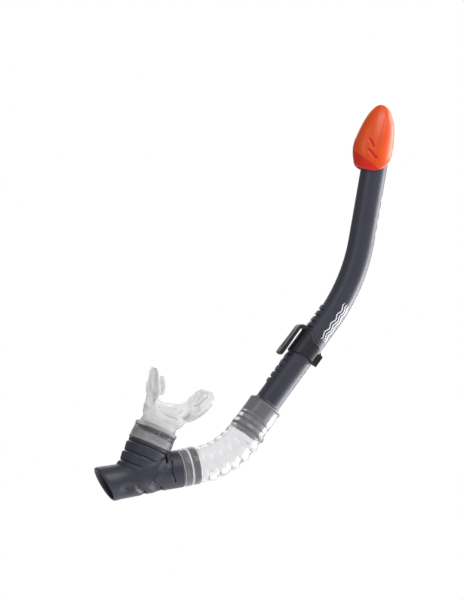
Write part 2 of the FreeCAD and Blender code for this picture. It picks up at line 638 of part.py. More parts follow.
def shield():
    """Plate that follows the gums: an arc with a straight wing at each end, rounded in height."""
    half = math.radians(SHIELD_ARC)
    wing = V(math.cos(half), 0, math.sin(half)) * SHIELD_WING
    flip = V(-wing.x, 0, wing.z)

    def on_arc(radius, angle):
        return V(radius * math.sin(angle), -SHIELD_HALF_HEIGHT, SHIELD_R - radius * math.cos(angle))

    inner_r = SHIELD_R - SHIELD_THICKNESS
    right_out = on_arc(SHIELD_R, half) + wing
    right_in = on_arc(inner_r, half) + wing
    left_out = on_arc(SHIELD_R, -half) + flip
    left_in = on_arc(inner_r, -half) + flip
    outline = Part.Wire([
        Part.Arc(on_arc(SHIELD_R, -half), on_arc(SHIELD_R, 0), on_arc(SHIELD_R, half)).toShape(),
        Part.LineSegment(on_arc(SHIELD_R, half), right_out).toShape(),
        Part.LineSegment(right_out, right_in).toShape(),
        Part.LineSegment(right_in, on_arc(inner_r, half)).toShape(),
        Part.Arc(on_arc(inner_r, half), on_arc(inner_r, 0), on_arc(inner_r, -half)).toShape(),
        Part.LineSegment(on_arc(inner_r, -half), left_in).toShape(),
        Part.LineSegment(left_in, left_out).toShape(),
        Part.LineSegment(left_out, on_arc(SHIELD_R, -half)).toShape(),
    ])
    plate = Part.Face(outline).extrude(V(0, 2 * SHIELD_HALF_HEIGHT, 0))
    end_centre = right_out.z - SHIELD_HALF_HEIGHT
    ends = Part.makeCylinder(SHIELD_HALF_HEIGHT, 2 * BEYOND, V(-BEYOND, 0, end_centre), V(1, 0, 0))
    middle = box((-BEYOND, -SHIELD_HALF_HEIGHT, -SPARE), (BEYOND, SHIELD_HALF_HEIGHT, end_centre))
    return plate.common(ends.fuse(middle))


def bite_tabs():
    """Tab held inside each wing by a web, where the teeth close."""
    half = math.radians(SHIELD_ARC)
    inner_r = SHIELD_R - SHIELD_THICKNESS
    root = V(inner_r * math.sin(half), 0, SHIELD_R - inner_r * math.cos(half))
    inward = V(-math.sin(half), 0, math.cos(half))
    along = V(math.cos(half), 0, math.sin(half))
    web = box((-BITE, -WEB_THICKNESS / 2, 0), (TAB_OFFSET + BITE, WEB_THICKNESS / 2, TAB_LENGTH - BITE))
    tab = box((TAB_OFFSET, -TAB_HALF_HEIGHT, -BITE),
              (TAB_OFFSET + TAB_THICKNESS, TAB_HALF_HEIGHT, TAB_LENGTH))
    right = place(web.fuse(tab), root, inward, along)
    left = right.copy()
    left.rotate(V(0, 0, 0), V(0, 0, 1), 180)
    return [right, left]


def mouthpiece():
    across, forward = mouth_axes()
    shield_point = STUB_TOP + forward * NECK_LENGTH
    level = direction(BRANCH_LEAN + 90)

    def neck_form(round_r, oval, start, end):
        ring = place(ellipse_wire(0, start, round_r, round_r - 0.01), STUB_TOP, level, BRANCH)
        far = place(ellipse_wire(0, end, *oval), shield_point, across, forward)
        return Part.makeLoft([ring, far], True, True)

    bore_oval = (NECK_OVAL[0] - MOUTH_NECK_WALL, NECK_OVAL[1] - MOUTH_NECK_WALL)
    outer_neck = neck_form(MOUTH_CUFF_R - NECK_STEP, NECK_OVAL, BITE, NECK_END)
    bore = neck_form(STUB_R - NECK_STEP, bore_oval, JOINT_GAP / 2, NECK_END + SPARE)
    cavity_r = SHIELD_R - SHIELD_THICKNESS / 2
    cavity = Part.makeCylinder(cavity_r, 2 * BEYOND, V(0, -BEYOND, SHIELD_R), ACROSS)
    cavity = place(cavity, shield_point, across, forward)
    front = [place(shape, shield_point, across, forward) for shape in [shield()] + bite_tabs()]
    cuff_foot = CUFF_SEAT + BRANCH * JOINT_GAP
    cuff = cylinder(MOUTH_CUFF_R, cuff_foot, STUB_TOP + BRANCH * MOUTH_CUFF_TOP)
    solid = union([cuff, outer_neck.cut(cavity)] + front)
    band_top = STUB_TOP - BRANCH * (BAND_BELOW_RIM - BAND_PLAY)
    band_foot = band_top - BRANCH * (BAND_HEIGHT + 2 * BAND_PLAY)
    ring_top = STUB_TOP - BRANCH * (STUB_RING_BELOW - SIDE_PLAY)
    ring_foot = STUB_TOP - BRANCH * (STUB_RING_BELOW + STUB_RING_WIDTH + SIDE_PLAY)
    cuts = [
        bore,
        cylinder(STUB_R + TURNING_FIT, CUFF_SEAT - BRANCH * SPARE, STUB_TOP + BRANCH * JOINT_GAP),
        cylinder(STUB_RING_R + TURNING_FIT, ring_foot, ring_top),
        tube(MOUTH_CUFF_R + SPARE, BAND_R - BAND_THICKNESS - PUSH_FIT, band_foot, band_top),
    ]
    for cut in cuts:
        solid = solid.cut(cut)
    return solid.removeSplitter()


def mouthpiece_band():
    """Split clear band in the cuff's groove."""
    top = STUB_TOP - BRANCH * BAND_BELOW_RIM
    foot = top - BRANCH * BAND_HEIGHT
    ring = tube(BAND_R, BAND_R - BAND_THICKNESS, foot, top)
    split = box((-BAND_SPLIT / 2, -BEYOND, -SPARE), (BAND_SPLIT / 2, 0, BAND_HEIGHT + SPARE))
    return ring.cut(place(split, foot, direction(BRANCH_LEAN + 90), BRANCH))


NODES = {
    "barrel_tube": barrel_tube,
    "splash_guard_hood": splash_guard_hood,
    "splash_guard_baffle": splash_guard_baffle,
    "strap_keeper": strap_keeper,
    "hose_upper_cuff": hose_upper_cuff,
    "hose_bellows": hose_bellows,
    "hose_lower_cuff": hose_lower_cuff,
    "body_housing": body_housing,
    "purge_valve_seat": purge_valve_seat,
    "purge_valve_flap": purge_valve_flap,
    "mouthpiece": mouthpiece,
    "mouthpiece_band": mouthpiece_band,
}

os.makedirs("parts", exist_ok=True)
for name, make in NODES.items():
    shape = make()
    solids = shape.Solids
    if len(solids) == 1:
        shape = solids[0]
    print(name, len(solids), shape.isValid(), round(shape.Volume / 1000, 2), shape.BoundBox)
    shape.exportStep(f"parts/{name}.step")


# Places that the joints and mounts repeat
for label, point in [("keeper_slide", KEEPER_POINT), ("hose_twist", HOSE_RIM), ("hose_flex", HOSE_MIDDLE),
                     ("body_swivel", CUFF_END), ("mouthpiece_swivel", STUB_TOP),
                     ("purge_lift", valve_point(0))]:
    print(label, [round(value, 3) for value in point])
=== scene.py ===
"""Looks of the snorkel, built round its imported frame. Forms are worked out in millimetres."""

import json
import math

import bpy
import numpy as np
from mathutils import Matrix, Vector


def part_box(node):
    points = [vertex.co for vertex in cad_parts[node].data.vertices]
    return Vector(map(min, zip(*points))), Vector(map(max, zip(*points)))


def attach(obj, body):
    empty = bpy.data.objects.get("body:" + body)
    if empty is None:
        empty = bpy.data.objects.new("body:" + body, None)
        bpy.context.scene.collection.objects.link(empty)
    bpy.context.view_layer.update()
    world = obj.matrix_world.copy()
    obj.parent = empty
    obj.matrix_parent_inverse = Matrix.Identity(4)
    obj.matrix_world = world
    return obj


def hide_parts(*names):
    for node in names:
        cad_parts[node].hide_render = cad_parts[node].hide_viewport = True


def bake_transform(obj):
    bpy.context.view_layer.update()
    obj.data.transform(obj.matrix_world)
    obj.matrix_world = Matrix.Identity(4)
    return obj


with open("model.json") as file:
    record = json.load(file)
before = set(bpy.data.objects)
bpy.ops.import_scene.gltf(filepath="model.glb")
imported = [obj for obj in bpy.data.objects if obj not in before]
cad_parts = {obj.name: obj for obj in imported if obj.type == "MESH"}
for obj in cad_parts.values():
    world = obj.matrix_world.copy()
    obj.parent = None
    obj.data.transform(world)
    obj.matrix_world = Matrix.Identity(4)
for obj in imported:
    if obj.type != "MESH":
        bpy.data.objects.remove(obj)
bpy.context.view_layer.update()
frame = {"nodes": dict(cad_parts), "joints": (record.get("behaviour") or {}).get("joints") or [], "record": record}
joints = {joint["name"]: joint for joint in frame["joints"]}


# Barrel tube
# One injection-moulded tube of slate-grey ABS: a spigot with three barbs for the hose, a lower
# straight with an index rack on the strap side, a long bend and an upper straight that ends in a
# neck for the splash guard. Grip notches are moulded into its outer side above the bend.

BARREL_R = 11.25
BARREL_BORE_R = 9.5
NECK_R = 10.5              # of its last 4 mm, inside the hood
SPIGOT = 30.0              # from the spigot's tip to the hose's rim
BARB_PITCH = 5.6
BARB_HALF = 1.1            # half of a barb's length along the spigot
BARB_PROUD = 0.65
BARB_FROM_TIP = 1.5
STOP_RING_PROUD = 1.05
STOP_RING_HALF = 0.8
BEND_FROM_TIP = 121.8
BEND_R = 161.7
UPPER_LEAN = math.radians(10.2)
NECK_FROM_TIP = 269.0
BARREL_LENGTH = 273.1
NOTCH_PITCH = 9.9
NOTCH_FIRST = 7.7          # past the bend's end
NOTCH_R = 3.4
NOTCH_DEPTH = 1.3
RACK_FROM_TIP = (47.0, 130.0)
RACK_HALF_WIDTH = 3.5
RACK_GAP_HALF = 0.75
RACK_GAP_REACH = 7.0       # to either side of the rack's middle
TOOTH_PITCH = 6.05
RACK_FIRST = 49.3          # middle of the lowest tooth, from the spigot's tip
RACK_LAST = RACK_FIRST + 13 * TOOTH_PITCH
SOFT_EDGE = 0.6            # usual rounding of a moulded edge

lower_direction = np.array(joints["hose_twist"]["axis"], float)
hose_rim = np.array(joints["hose_twist"]["pos_m"], float) * 1000
lower_lean = math.atan2(lower_direction[0], lower_direction[2])
bend_length = BEND_R * (lower_lean - UPPER_LEAN)


def leaning(angle):
    """Unit vectors in the plane of the tube that lean by angle from vertical towards +X."""
    return np.stack([np.sin(angle), np.zeros_like(angle), np.cos(angle)], -1)


def bent_line(along, start, way, straight, bend, radius):
    """Middle and outer side of a straight and a bend, way 1 up the tube or -1 down it."""
    along = np.asarray(along, float)
    angle = lower_lean - way * np.clip(along - straight, 0, bend) / radius
    outward = leaning(angle + math.pi / 2)
    middle = start + way * leaning(lower_lean) * np.minimum(along, straight)[..., None]
    middle = middle + radius * (outward - leaning(lower_lean + math.pi / 2))
    past = np.maximum(along - straight - bend, 0)[..., None]
    return middle + way * leaning(lower_lean - way * bend / radius) * past, outward


def barrel_line(along):
    """Middle of the tube and the direction of its outer side, from the distance to the tip."""
    tip = hose_rim - lower_direction * SPIGOT
    return bent_line(along, tip, 1, BEND_FROM_TIP, bend_length, BEND_R)


def in_barrel(local):
    """Row-frame places of points given as outward, sideways and along the barrel."""
    middle, outward = barrel_line(local[:, 2])
    placed = middle + outward * local[:, :1]
    placed[:, 1] += local[:, 1]
    return placed


def within(a, b, round_by=0.5):
    """Both of two forms at once, their shared edge rounded."""
    blend = np.maximum(round_by - np.abs(a - b), 0) / round_by
    return np.maximum(a, b) + blend * blend * round_by / 4


def joined(a, b, fillet=0.5):
    """Either of two forms, with a fillet in the corner between them."""
    return -within(-a, -b, fillet)


def carved(a, b, round_by=0.5):
    """Form a with form b taken out of it."""
    return within(a, -b, round_by)


def swell(value, start, end):
    """0 before start, 1 past end, and a smooth rise between them."""
    share = np.clip((value - start) / (end - start), 0, 1)
    return share * share * (3 - 2 * share)


def linked(name, data):
    """New object in the scene's collection."""
    item = bpy.data.objects.new(name, data)
    bpy.context.scene.collection.objects.link(item)
    return item


def new_piece(name, vertices, faces, material):
    """Smooth-shaded mesh object, faces outward, from millimetre vertices in the row frame."""
    vertices, faces = np.asarray(vertices), np.asarray(faces)
    corner, along_1, along_2 = (vertices[faces[:, i]] for i in range(3))
    if (corner * np.cross(along_1, along_2)).sum() < 0:
        faces = faces[:, ::-1]
    mesh = bpy.data.meshes.new(name)
    mesh.from_pydata((vertices * 0.001).tolist(), [], faces.tolist())
    mesh.update()
    mesh.polygons.foreach_set("use_smooth", [True] * len(mesh.polygons))
    mesh.materials.append(material)
    return linked(name, mesh)


def moulded(name, form, low, high, step, place, material):
    """Closed mesh of the surface where form is zero; form is negative inside the plastic.

    Each lattice cell that the surface crosses gets one point, which is then drawn onto the surface.
    """
    low = np.array(low, float)
    unit = np.eye(3, dtype=int)
    counts = np.ceil((np.array(high, float) - low) / step).astype(int) + 1
    axes = [low[i] + step * np.arange(counts[i]) for i in range(3)]
    lattice = np.stack(np.meshgrid(*axes, indexing="ij"), -1).reshape(-1, 3)
    field = form(lattice).reshape(counts)
    inside = field < 0
    cells = counts - 1
    corners = [np.array((i, j, k)) for i in (0, 1) for j in (0, 1) for k in (0, 1)]
    filled = sum(inside[i:i + cells[0], j:j + cells[1], k:k + cells[2]].astype(np.int8)
                 for i, j, k in corners)
    active = (filled > 0) & (filled < 8)
    number = np.full(cells, -1)
    number[active] = np.arange(active.sum())
    cell = np.argwhere(active)
    total = np.zeros((len(cell), 3))
    hits = np.zeros(len(cell))
    for corner in corners:
        for axis in range(3):
            if corner[axis]:
                continue
            here = field[tuple((cell + corner).T)]
            there = field[tuple((cell + corner + unit[axis]).T)]
            crossing = (here < 0) != (there < 0)
            share = here[crossing] / (here[crossing] - there[crossing])
            total[crossing] += corner + share[:, None] * unit[axis]
            hits[crossing] += 1
    points = low + step * (cell + total / hits[:, None])
    faces = []
    for axis in range(3):
        first, second = unit[(axis + 1) % 3], unit[(axis + 2) % 3]
        start = inside[tuple(slice(0, -1) if i == axis else slice(1, -1) for i in range(3))]
        end = inside[tuple(slice(1, None) if i == axis else slice(1, -1) for i in range(3))]
        for leaving, order in ((start & ~end, 1), (end & ~start, -1)):
            node = np.argwhere(leaving) + 1 - unit[axis]
            ring = [node - first - second, node - second, node, node - first]
            faces.append(np.stack([number[tuple(c.T)] for c in ring], 1)[:, ::order])
    nudge, least_slope, longest_move = 0.02, 0.05, 0.4 * step
    for _ in range(3):
        value = form(points)
        slope = np.stack([form(points + nudge * row) - form(points - nudge * row)
                          for row in unit], -1) / (2 * nudge)
        move = slope * (value / np.maximum((slope ** 2).sum(1), least_slope))[:, None]
        length = np.linalg.norm(move, axis=1)
        points = points - move * np.minimum(1, longest_move / np.maximum(length, 1e-9))[:, None]
    return new_piece(name, place(points), np.concatenate(faces), material)


def barbed(radius, along, tip_side, count):
    """Rounded rings that hold a cuff, the first of them tip_side from the spigot's tip."""
    rings = np.full(len(radius), 9.0)
    for index in range(count):
        middle = tip_side + BARB_HALF + index * BARB_PITCH
        ring = within(radius - BARREL_R - BARB_PROUD, np.abs(along - middle) - BARB_HALF, SOFT_EDGE)
        rings = np.minimum(rings, ring)
    return rings


def barrel_form(local):
    outward, sideways, along = local.T
    radius = np.hypot(outward, sideways)
    tube = within(radius - BARREL_R, along - NECK_FROM_TIP, SOFT_EDGE)
    tube = joined(tube, radius - NECK_R, 0.4)
    tube = joined(tube, barbed(radius, along, BARB_FROM_TIP, 3), 0.4)
    stop_ring = within(radius - BARREL_R - STOP_RING_PROUD,
                       np.abs(along - SPIGOT - BARB_HALF) - STOP_RING_HALF, SOFT_EDGE)
    tube = joined(tube, stop_ring, 0.5)
    pad = within(np.abs(sideways) - RACK_HALF_WIDTH, -outward - BARREL_R - 0.3, SOFT_EDGE)
    pad = within(pad, np.maximum(RACK_FROM_TIP[0] - along, along - RACK_FROM_TIP[1]), 0.8)
    tube = joined(tube, np.maximum(pad, outward), 0.5)
    gap = np.abs(np.mod(along - RACK_FIRST, TOOTH_PITCH) - TOOTH_PITCH / 2) - RACK_GAP_HALF
    rack_run = np.abs(along - (RACK_FIRST + RACK_LAST) / 2) - (RACK_LAST - RACK_FIRST) / 2
    gap = within(gap, rack_run, 0.3)
    gap = within(gap, np.maximum(np.abs(sideways) - RACK_GAP_REACH, outward), 0.5)
    tube = carved(tube, np.maximum(gap, BARREL_R - RACK_GAP_HALF - radius), 0.4)
    for index in range(4):
        notch_along = BEND_FROM_TIP + bend_length + NOTCH_FIRST + NOTCH_PITCH * index
        notch_middle = BARREL_R - NOTCH_DEPTH + NOTCH_R
        tube = within(tube, NOTCH_R - np.hypot(outward - notch_middle, along - notch_along), 0.8)
    tube = carved(tube, radius - BARREL_BORE_R, SOFT_EDGE)
    return within(tube, np.maximum(-along, along - BARREL_LENGTH), SOFT_EDGE)


def wired(tree, kind, settings=None, **sources):
    """New node whose inputs come from sockets or plain values, keyed by name or by in_NUMBER."""
    node = tree.nodes.new(kind)
    for key, value in (settings or {}).items():
        setattr(node, key, value)
    for key, value in sources.items():
        label = key.replace("_", " ")
        target = node.inputs[int(key[3:])] if key.startswith("in_") else node.inputs[label]
        if isinstance(value, bpy.types.NodeSocket):
            tree.links.new(value, target)
        else:
            target.default_value = value
    return node


def started(name):
    """New material, its tree, its shader's inputs and the Object coordinates."""
    material = bpy.data.materials.new(name)
    material.use_nodes = True
    tree = material.node_tree
    place = wired(tree, "ShaderNodeTexCoord").outputs["Object"]
    return material, tree, tree.nodes["Principled BSDF"].inputs, place


def noise(tree, place, scale, detail, distortion=0.0):
    return wired(tree, "ShaderNodeTexNoise", Vector=place, Scale=scale, Detail=detail,
                 Distortion=distortion).outputs["Fac"]


def finished(tree, shader, colours, colour_by, roughness, rough_by, bump, bump_by):
    """Links varied colour, roughness and bump, each led by a noise, to the shader."""
    tint = wired(tree, "ShaderNodeMix", {"data_type": "RGBA"}, in_0=colour_by,
                 in_6=(*colours[0], 1), in_7=(*colours[1], 1))
    rough = wired(tree, "ShaderNodeMapRange", Value=rough_by, To_Min=roughness[0],
                  To_Max=roughness[1])
    dents = wired(tree, "ShaderNodeBump", Strength=bump[0], Distance=bump[1], Height=bump_by)
    tree.links.new(tint.outputs[2], shader["Base Color"])
    tree.links.new(rough.outputs["Result"], shader["Roughness"])
    tree.links.new(dents.outputs["Normal"], shader["Normal"])


def plastic(name, colour, roughness, grain, grain_depth, speckle=0.08):
    """Moulded plastic: a fine tooled grain, soft flow marks and roughness that varies with both."""
    material, tree, shader, place = started(name)
    fine = noise(tree, place, grain, 3)
    flow = noise(tree, place, 45, 4, distortion=0.6)
    both = wired(tree, "ShaderNodeMath", {"operation": "MULTIPLY_ADD"}, in_0=fine, in_1=0.35,
                 in_2=flow)
    colours = [[c * (1 + sign * speckle) for c in colour] for sign in (-1, 1)]
    finished(tree, shader, colours, flow, (roughness * 0.8, roughness * 1.25), both.outputs[0],
             (0.16, grain_depth), fine)
    return material


slate = plastic("slate_abs", (0.040, 0.040, 0.062), 0.38, 1500, 0.00005)
barrel = moulded("barrel_tube_skin", barrel_form, (-12.9, -12.9, -1.2), (12.9, 12.9, 274.3),
                 0.72, in_barrel, slate)
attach(barrel, "barrel")
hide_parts("barrel_tube")


# Index rack
# Small blocks moulded on a pad along the strap side, one every 6 mm, that the keeper's pawl drops
# between. They are part of the barrel's moulding and have the same finish.

TOOTH_WIDTH = 0.0064
TOOTH_LENGTH = 0.0043
TOOTH_HEIGHT = 0.00065
TOOTH_CORNER = 0.0008
TOOTH_DRAFT = 0.86         # size of a block's top against its foot


def new_tree(name, sizes):
    """Geometry Nodes tree with a geometry, the named sizes and a material to be given to it."""
    tree = bpy.data.node_groups.new(name, "GeometryNodeTree")
    sockets = [("Geometry", "INPUT", "NodeSocketGeometry")]
    sockets += [(size, "INPUT", "NodeSocketFloat") for size in sizes]
    sockets += [("Material", "INPUT", "NodeSocketMaterial"),
                ("Geometry", "OUTPUT", "NodeSocketGeometry")]
    for label, side, kind in sockets:
        tree.interface.new_socket(label, in_out=side, socket_type=kind)
    return tree, tree.nodes.new("NodeGroupInput").outputs


def evaluated_mesh(piece, tree, values):
    """Runs a tree on a piece, its inputs set by identifier, and keeps the plain mesh."""
    modifier = piece.modifiers.new(tree.name, "NODES")
    modifier.node_group = tree
    for item in tree.interface.items_tree:
        if item.item_type == "SOCKET" and item.in_out == "INPUT" and item.name in values:
            modifier[item.identifier] = values[item.name]
    depsgraph = bpy.context.evaluated_depsgraph_get()
    mesh = bpy.data.meshes.new_from_object(piece.evaluated_get(depsgraph), depsgraph=depsgraph)
    piece.modifiers.clear()
    piece.data = mesh


def ended(tree, geometry, material):
    """Closes a tree with Realize Instances and Set Material."""
    real = wired(tree, "GeometryNodeRealizeInstances", Geometry=geometry)
    coated = wired(tree, "GeometryNodeSetMaterial", Geometry=real.outputs[0], Material=material)
    wired(tree, "NodeGroupOutput", in_0=coated.outputs[0])


def rack_tree():
    tree, given = new_tree("index_rack", ["Pitch", "Block Width", "Block Length", "Block Height"])
    line = wired(tree, "GeometryNodeMeshToCurve", Mesh=given["Geometry"])
    spaced = wired(tree, "GeometryNodeResampleCurve", {"mode": "LENGTH"}, Curve=line.outputs[0],
                   Length=given["Pitch"])
    tangent = tree.nodes.new("GeometryNodeInputTangent")
    outward = wired(tree, "ShaderNodeVectorMath", {"operation": "CROSS_PRODUCT"},
                    in_0=tangent.outputs[0], in_1=(0, 1, 0))
    turn = wired(tree, "FunctionNodeAxesToRotation", {"primary_axis": "Z", "secondary_axis": "Y"},
                 in_0=outward.outputs[0], in_1=tangent.outputs[0])
    outline = wired(tree, "GeometryNodeCurvePrimitiveQuadrilateral", Width=given["Block Width"],
                    Height=given["Block Length"])
    corners = wired(tree, "GeometryNodeFilletCurve", {"mode": "POLY"}, Curve=outline.outputs[0],
                    Count=4, Radius=TOOTH_CORNER)
    base = wired(tree, "GeometryNodeFillCurve", {"mode": "NGONS"}, Curve=corners.outputs[0])
    raised = wired(tree, "GeometryNodeExtrudeMesh", Mesh=base.outputs[0],
                   Offset_Scale=given["Block Height"])
    drafted = wired(tree, "GeometryNodeScaleElements", Geometry=raised.outputs[0],
                    Selection=raised.outputs["Top"], Scale=TOOTH_DRAFT)
    foot = wired(tree, "GeometryNodeFlipFaces", Mesh=base.outputs[0])
    block = tree.nodes.new("GeometryNodeJoinGeometry")
    tree.links.new(drafted.outputs[0], block.inputs[0])
    tree.links.new(foot.outputs[0], block.inputs[0])
    closed = wired(tree, "GeometryNodeMergeByDistance", Geometry=block.outputs[0],
                   Distance=0.00001)
    placed = wired(tree, "GeometryNodeInstanceOnPoints", Points=spaced.outputs[0],
                   Instance=closed.outputs[0], Rotation=turn.outputs[0])
    ended(tree, placed.outputs[0], given["Material"])
    return tree


rack_along = np.linspace(RACK_FIRST, RACK_LAST, 150)
rack_middle, rack_outward = barrel_line(rack_along)
rack_line = bpy.data.meshes.new("index_rack")
rack_line.from_pydata(((rack_middle - rack_outward * (BARREL_R + 0.1)) * 0.001).tolist(),
                      [(i, i + 1) for i in range(len(rack_along) - 1)], [])
rack = linked("index_rack", rack_line)
evaluated_mesh(rack, rack_tree(), {
    "Pitch": TOOTH_PITCH * 0.001, "Block Width": TOOTH_WIDTH, "Block Length": TOOTH_LENGTH,
    "Block Height": TOOTH_HEIGHT, "Material": slate})
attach(rack, "barrel")


# Printed mark
# A pad-printed sign of water in white ink on the barrel's outer flank, between the keeper and the
# bend: three rows of waves, a skin of ink that follows the tube.

MARK_MIDDLE = 122.0        # from the spigot's tip
MARK_LENGTH = 38.0
MARK_TURN = math.radians(-64)   # round the tube, from the outer side towards -Y
WAVE_HEIGHT = 0.85
WAVE_LENGTH = 9.4
WAVE_ROWS_APART = 2.8


def printed_mark():
    """Ribbons of ink, each a sine wave round the tube's skin."""
    ink = plastic("white_ink", (0.72, 0.73, 0.76), 0.5, 900, 0.00002)
    steps = 120
    vertices, faces = [], []
    for row in (-1, 0, 1):
        along = np.linspace(-MARK_LENGTH / 2, MARK_LENGTH / 2, steps + 1)
        wave = WAVE_HEIGHT * np.sin(along * 2 * math.pi / WAVE_LENGTH)
        taper = 0.55 * np.sqrt(np.clip(1 - (2 * along / MARK_LENGTH) ** 8, 0.02, 1))
        for side in (-1, 1):
            turn = MARK_TURN + (row * WAVE_ROWS_APART + wave + side * taper) / BARREL_R
            for radius in (BARREL_R - 0.15, BARREL_R + 0.05):
                vertices.append(in_barrel(np.stack(
                    [radius * np.cos(turn), radius * np.sin(turn), MARK_MIDDLE + along], 1)))
        first = (row + 1) * 4 * (steps + 1)
        loop = [first + k * (steps + 1) for k in (0, 2, 3, 1)]
        for i in range(steps):
            for a, b in zip(loop, loop[1:] + loop[:1]):
                faces.append((a + i, b + i, b + i + 1, a + i + 1))
        faces += [loop[::-1], [start + steps for start in loop]]
    mesh = bpy.data.meshes.new("printed_mark")
    mesh.from_pydata((np.concatenate(vertices) * 0.001).tolist(), [],
                     [face[::-1] for face in faces])
    mesh.update()
    mesh.materials.append(ink)
    return linked("printed_mark", mesh)


mark = printed_mark()
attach(mark, "barrel")


# Splash guard hood
# A hollow cap of orange polypropylene, pushed onto the barrel's neck by a sleeve inside it. It is
# open underneath on the strap side, where air comes in, and has a rolled lip, a raised panel on
# the plain side and slanted drain slots.

GUARD_TOP = 57.2
GUARD_OVERLAP = 14.0       # how far the barrel goes up into it
GUARD_SECTIONS = np.array([
    # height above the lip, left edge, right edge, half depth
    (-6.0, -15.0, 12.9, 12.6),
    (4.0, -19.6, 13.0, 13.2),
    (12.0, -21.2, 13.0, 13.6),
    (20.0, -21.4, 12.8, 13.4),
    (30.0, -19.2, 12.3, 12.6),
    (40.0, -16.2, 10.8, 10.8),
    (47.0, -13.2, 8.5, 8.6),
    (52.0, -10.2, 6.0, 6.0),
    (55.5, -7.0, 2.4, 3.4),
    (57.2, -2.8, -2.8, 0.0),
])
LIP_CENTRE = (-7.1135, 19.0645)   # of the arc that the guard's lip follows
LIP_R = 19.8648
GUARD_FACET = ((-22.0, -18.8, -2.4, 9.0), (14.0, 12.2, 3.4, -2.7))   # top of the lip's facet
GUARD_WALL = 1.8
# painted shade: the darker red that the hood's colour turns to on its downward facet and in its slots
SHADED_RED = (0.72, 0.014, 0.006)
SLEEVE_R = 12.4
SLEEVE_BORE_R = 11.3
SLEEVE_TOP = 12.0
PANEL_PROUD = 0.55
SLOT_DEPTH = 1.0
DRAIN_SLOTS = ((-9.3, 22.4, 2.9, 58), (-7.4, 13.2, 4.6, 38))   # place, half length, slant
guard_foot, guard_outward = barrel_line(BARREL_LENGTH - GUARD_OVERLAP)
guard_up = leaning(UPPER_LEAN)


def eased(value, places, sizes):
    """Smooth curve through sizes at rising places."""
    slopes = np.gradient(sizes, places)
    index = np.clip(np.searchsorted(places, value) - 1, 0, len(places) - 2)
    span = places[index + 1] - places[index]
    t = np.clip((value - places[index]) / span, 0, 1)
    return ((1 + 2 * t) * (1 - t) ** 2 * sizes[index] + t * (1 - t) ** 2 * span * slopes[index]
            + t * t * (3 - 2 * t) * sizes[index + 1] + t * t * (t - 1) * span * slopes[index + 1])


def guard_skin(local):
    """Outer form of the hood, before its lip, panel and slots."""
    across, depth, height = local.T
    from_top = np.sqrt(np.maximum(GUARD_TOP - height, 0))
    places = np.sqrt(GUARD_TOP - GUARD_SECTIONS[::-1, 0])
    left, right, half_depth = [eased(from_top, places, GUARD_SECTIONS[::-1, i]) for i in (1, 2, 3)]
    half_width = np.maximum((right - left) / 2, 0.3)
    half_depth = np.maximum(half_depth, 0.2)
    middle = (left + right) / 2
    reach = np.hypot((across - middle) / half_width, depth / half_depth)
    form = (reach - 1) * np.minimum(half_width, half_depth)
    return np.where(height > GUARD_TOP, np.maximum(form, height - GUARD_TOP), form)


def hood_form(local):
    across, depth, height = local.T
    skin = guard_skin(local)
    ridge = -3.6 + 0.08 * (height - 14)
    panel = swell(across, ridge - 0.5, ridge + 0.9) * swell(height, 5, 10)
    panel = panel * (1 - swell(height, 43, 49))
    over_lip = height - LIP_CENTRE[1]
    below_lip = (np.hypot(across - LIP_CENTRE[0], np.minimum(over_lip, 0)) - LIP_R
                 - 0.5 * np.maximum(over_lip, 0))
    facet = (skin + 0.13 * (np.interp(across, *GUARD_FACET) - height)) * 0.98
    outer = within(skin - PANEL_PROUD * panel, facet, 0.7)
    shell = carved(outer, np.maximum(skin, facet) + GUARD_WALL, 0.5)
    sleeve_r = np.hypot(across, depth)
    sleeve = within(np.maximum(sleeve_r - SLEEVE_R, skin), height - SLEEVE_TOP, 0.5)
    hood = joined(shell, sleeve, 0.8)
    hood = within(hood, below_lip, 0.6)
    rim = np.hypot(outer + 0.9, below_lip + 0.9) - 1.15
    hood = joined(hood, rim, 0.5)
    for slot_across, slot_height, half_length, slant in DRAIN_SLOTS:
        cosine, sine = math.cos(math.radians(-slant)), math.sin(math.radians(-slant))
        run = (across - slot_across) * cosine + (height - slot_height) * sine
        off = (height - slot_height) * cosine - (across - slot_across) * sine
        slot = np.hypot(np.maximum(np.abs(run) - half_length, 0), off)
        slot = slot - 1.35 - 0.5 * np.maximum(skin, -1.7)
        slot = np.maximum(slot, -SLOT_DEPTH - skin)
        slot = np.maximum(slot, 12.3 - sleeve_r)
        hood = carved(hood, slot, 0.5)
    above_sleeve = 40 * (height > 14)
    return np.maximum(hood, SLEEVE_BORE_R - sleeve_r - above_sleeve)


def set_on(origin, first, third):
    """Function that brings points from a straight piece's own directions to the row frame."""
    return lambda local: (origin + local[:, :1] * first + local[:, 2:] * third
                          + local[:, 1:2] * np.array([0, 1, 0]))


def stored(piece, name, values):
    """Keeps one number for each vertex in an attribute of the piece's mesh."""
    attribute = piece.data.attributes.new(name, "FLOAT", "POINT")
    attribute.data.foreach_set("value", values.astype(np.float32))


def paint_facet_shade(hood, material):
    """Painted shade: a darker red mixed into the colour on the facet over the lip, which faces down, and on faces
    inside the outer skin, such as the sides of the slots.
    """
    points = np.empty(len(hood.data.vertices) * 3)
    hood.data.vertices.foreach_get("co", points)
    offset = points.reshape(-1, 3) * 1000 - guard_foot
    local = np.stack([offset @ guard_outward, offset[:, 1], offset @ guard_up], 1)
    # deep is painted shade: 1 on the downward facet over the lip and on faces inside the outer skin
    deep = swell(np.interp(local[:, 0], *GUARD_FACET) - local[:, 2], -0.3, 0.8)
    deep = np.maximum(deep, swell(-guard_skin(local), 0.3, 0.8))
    stored(hood, "deep", deep)
    tree = material.node_tree
    colour = tree.nodes["Principled BSDF"].inputs["Base Color"]
    painted_shade = wired(tree, "ShaderNodeAttribute", {"attribute_name": "deep"})
    mix = wired(tree, "ShaderNodeMix", {"data_type": "RGBA"}, in_0=painted_shade.outputs["Fac"],
                in_6=colour.links[0].from_socket, in_7=(*SHADED_RED, 1))
    tree.links.new(mix.outputs[2], colour)


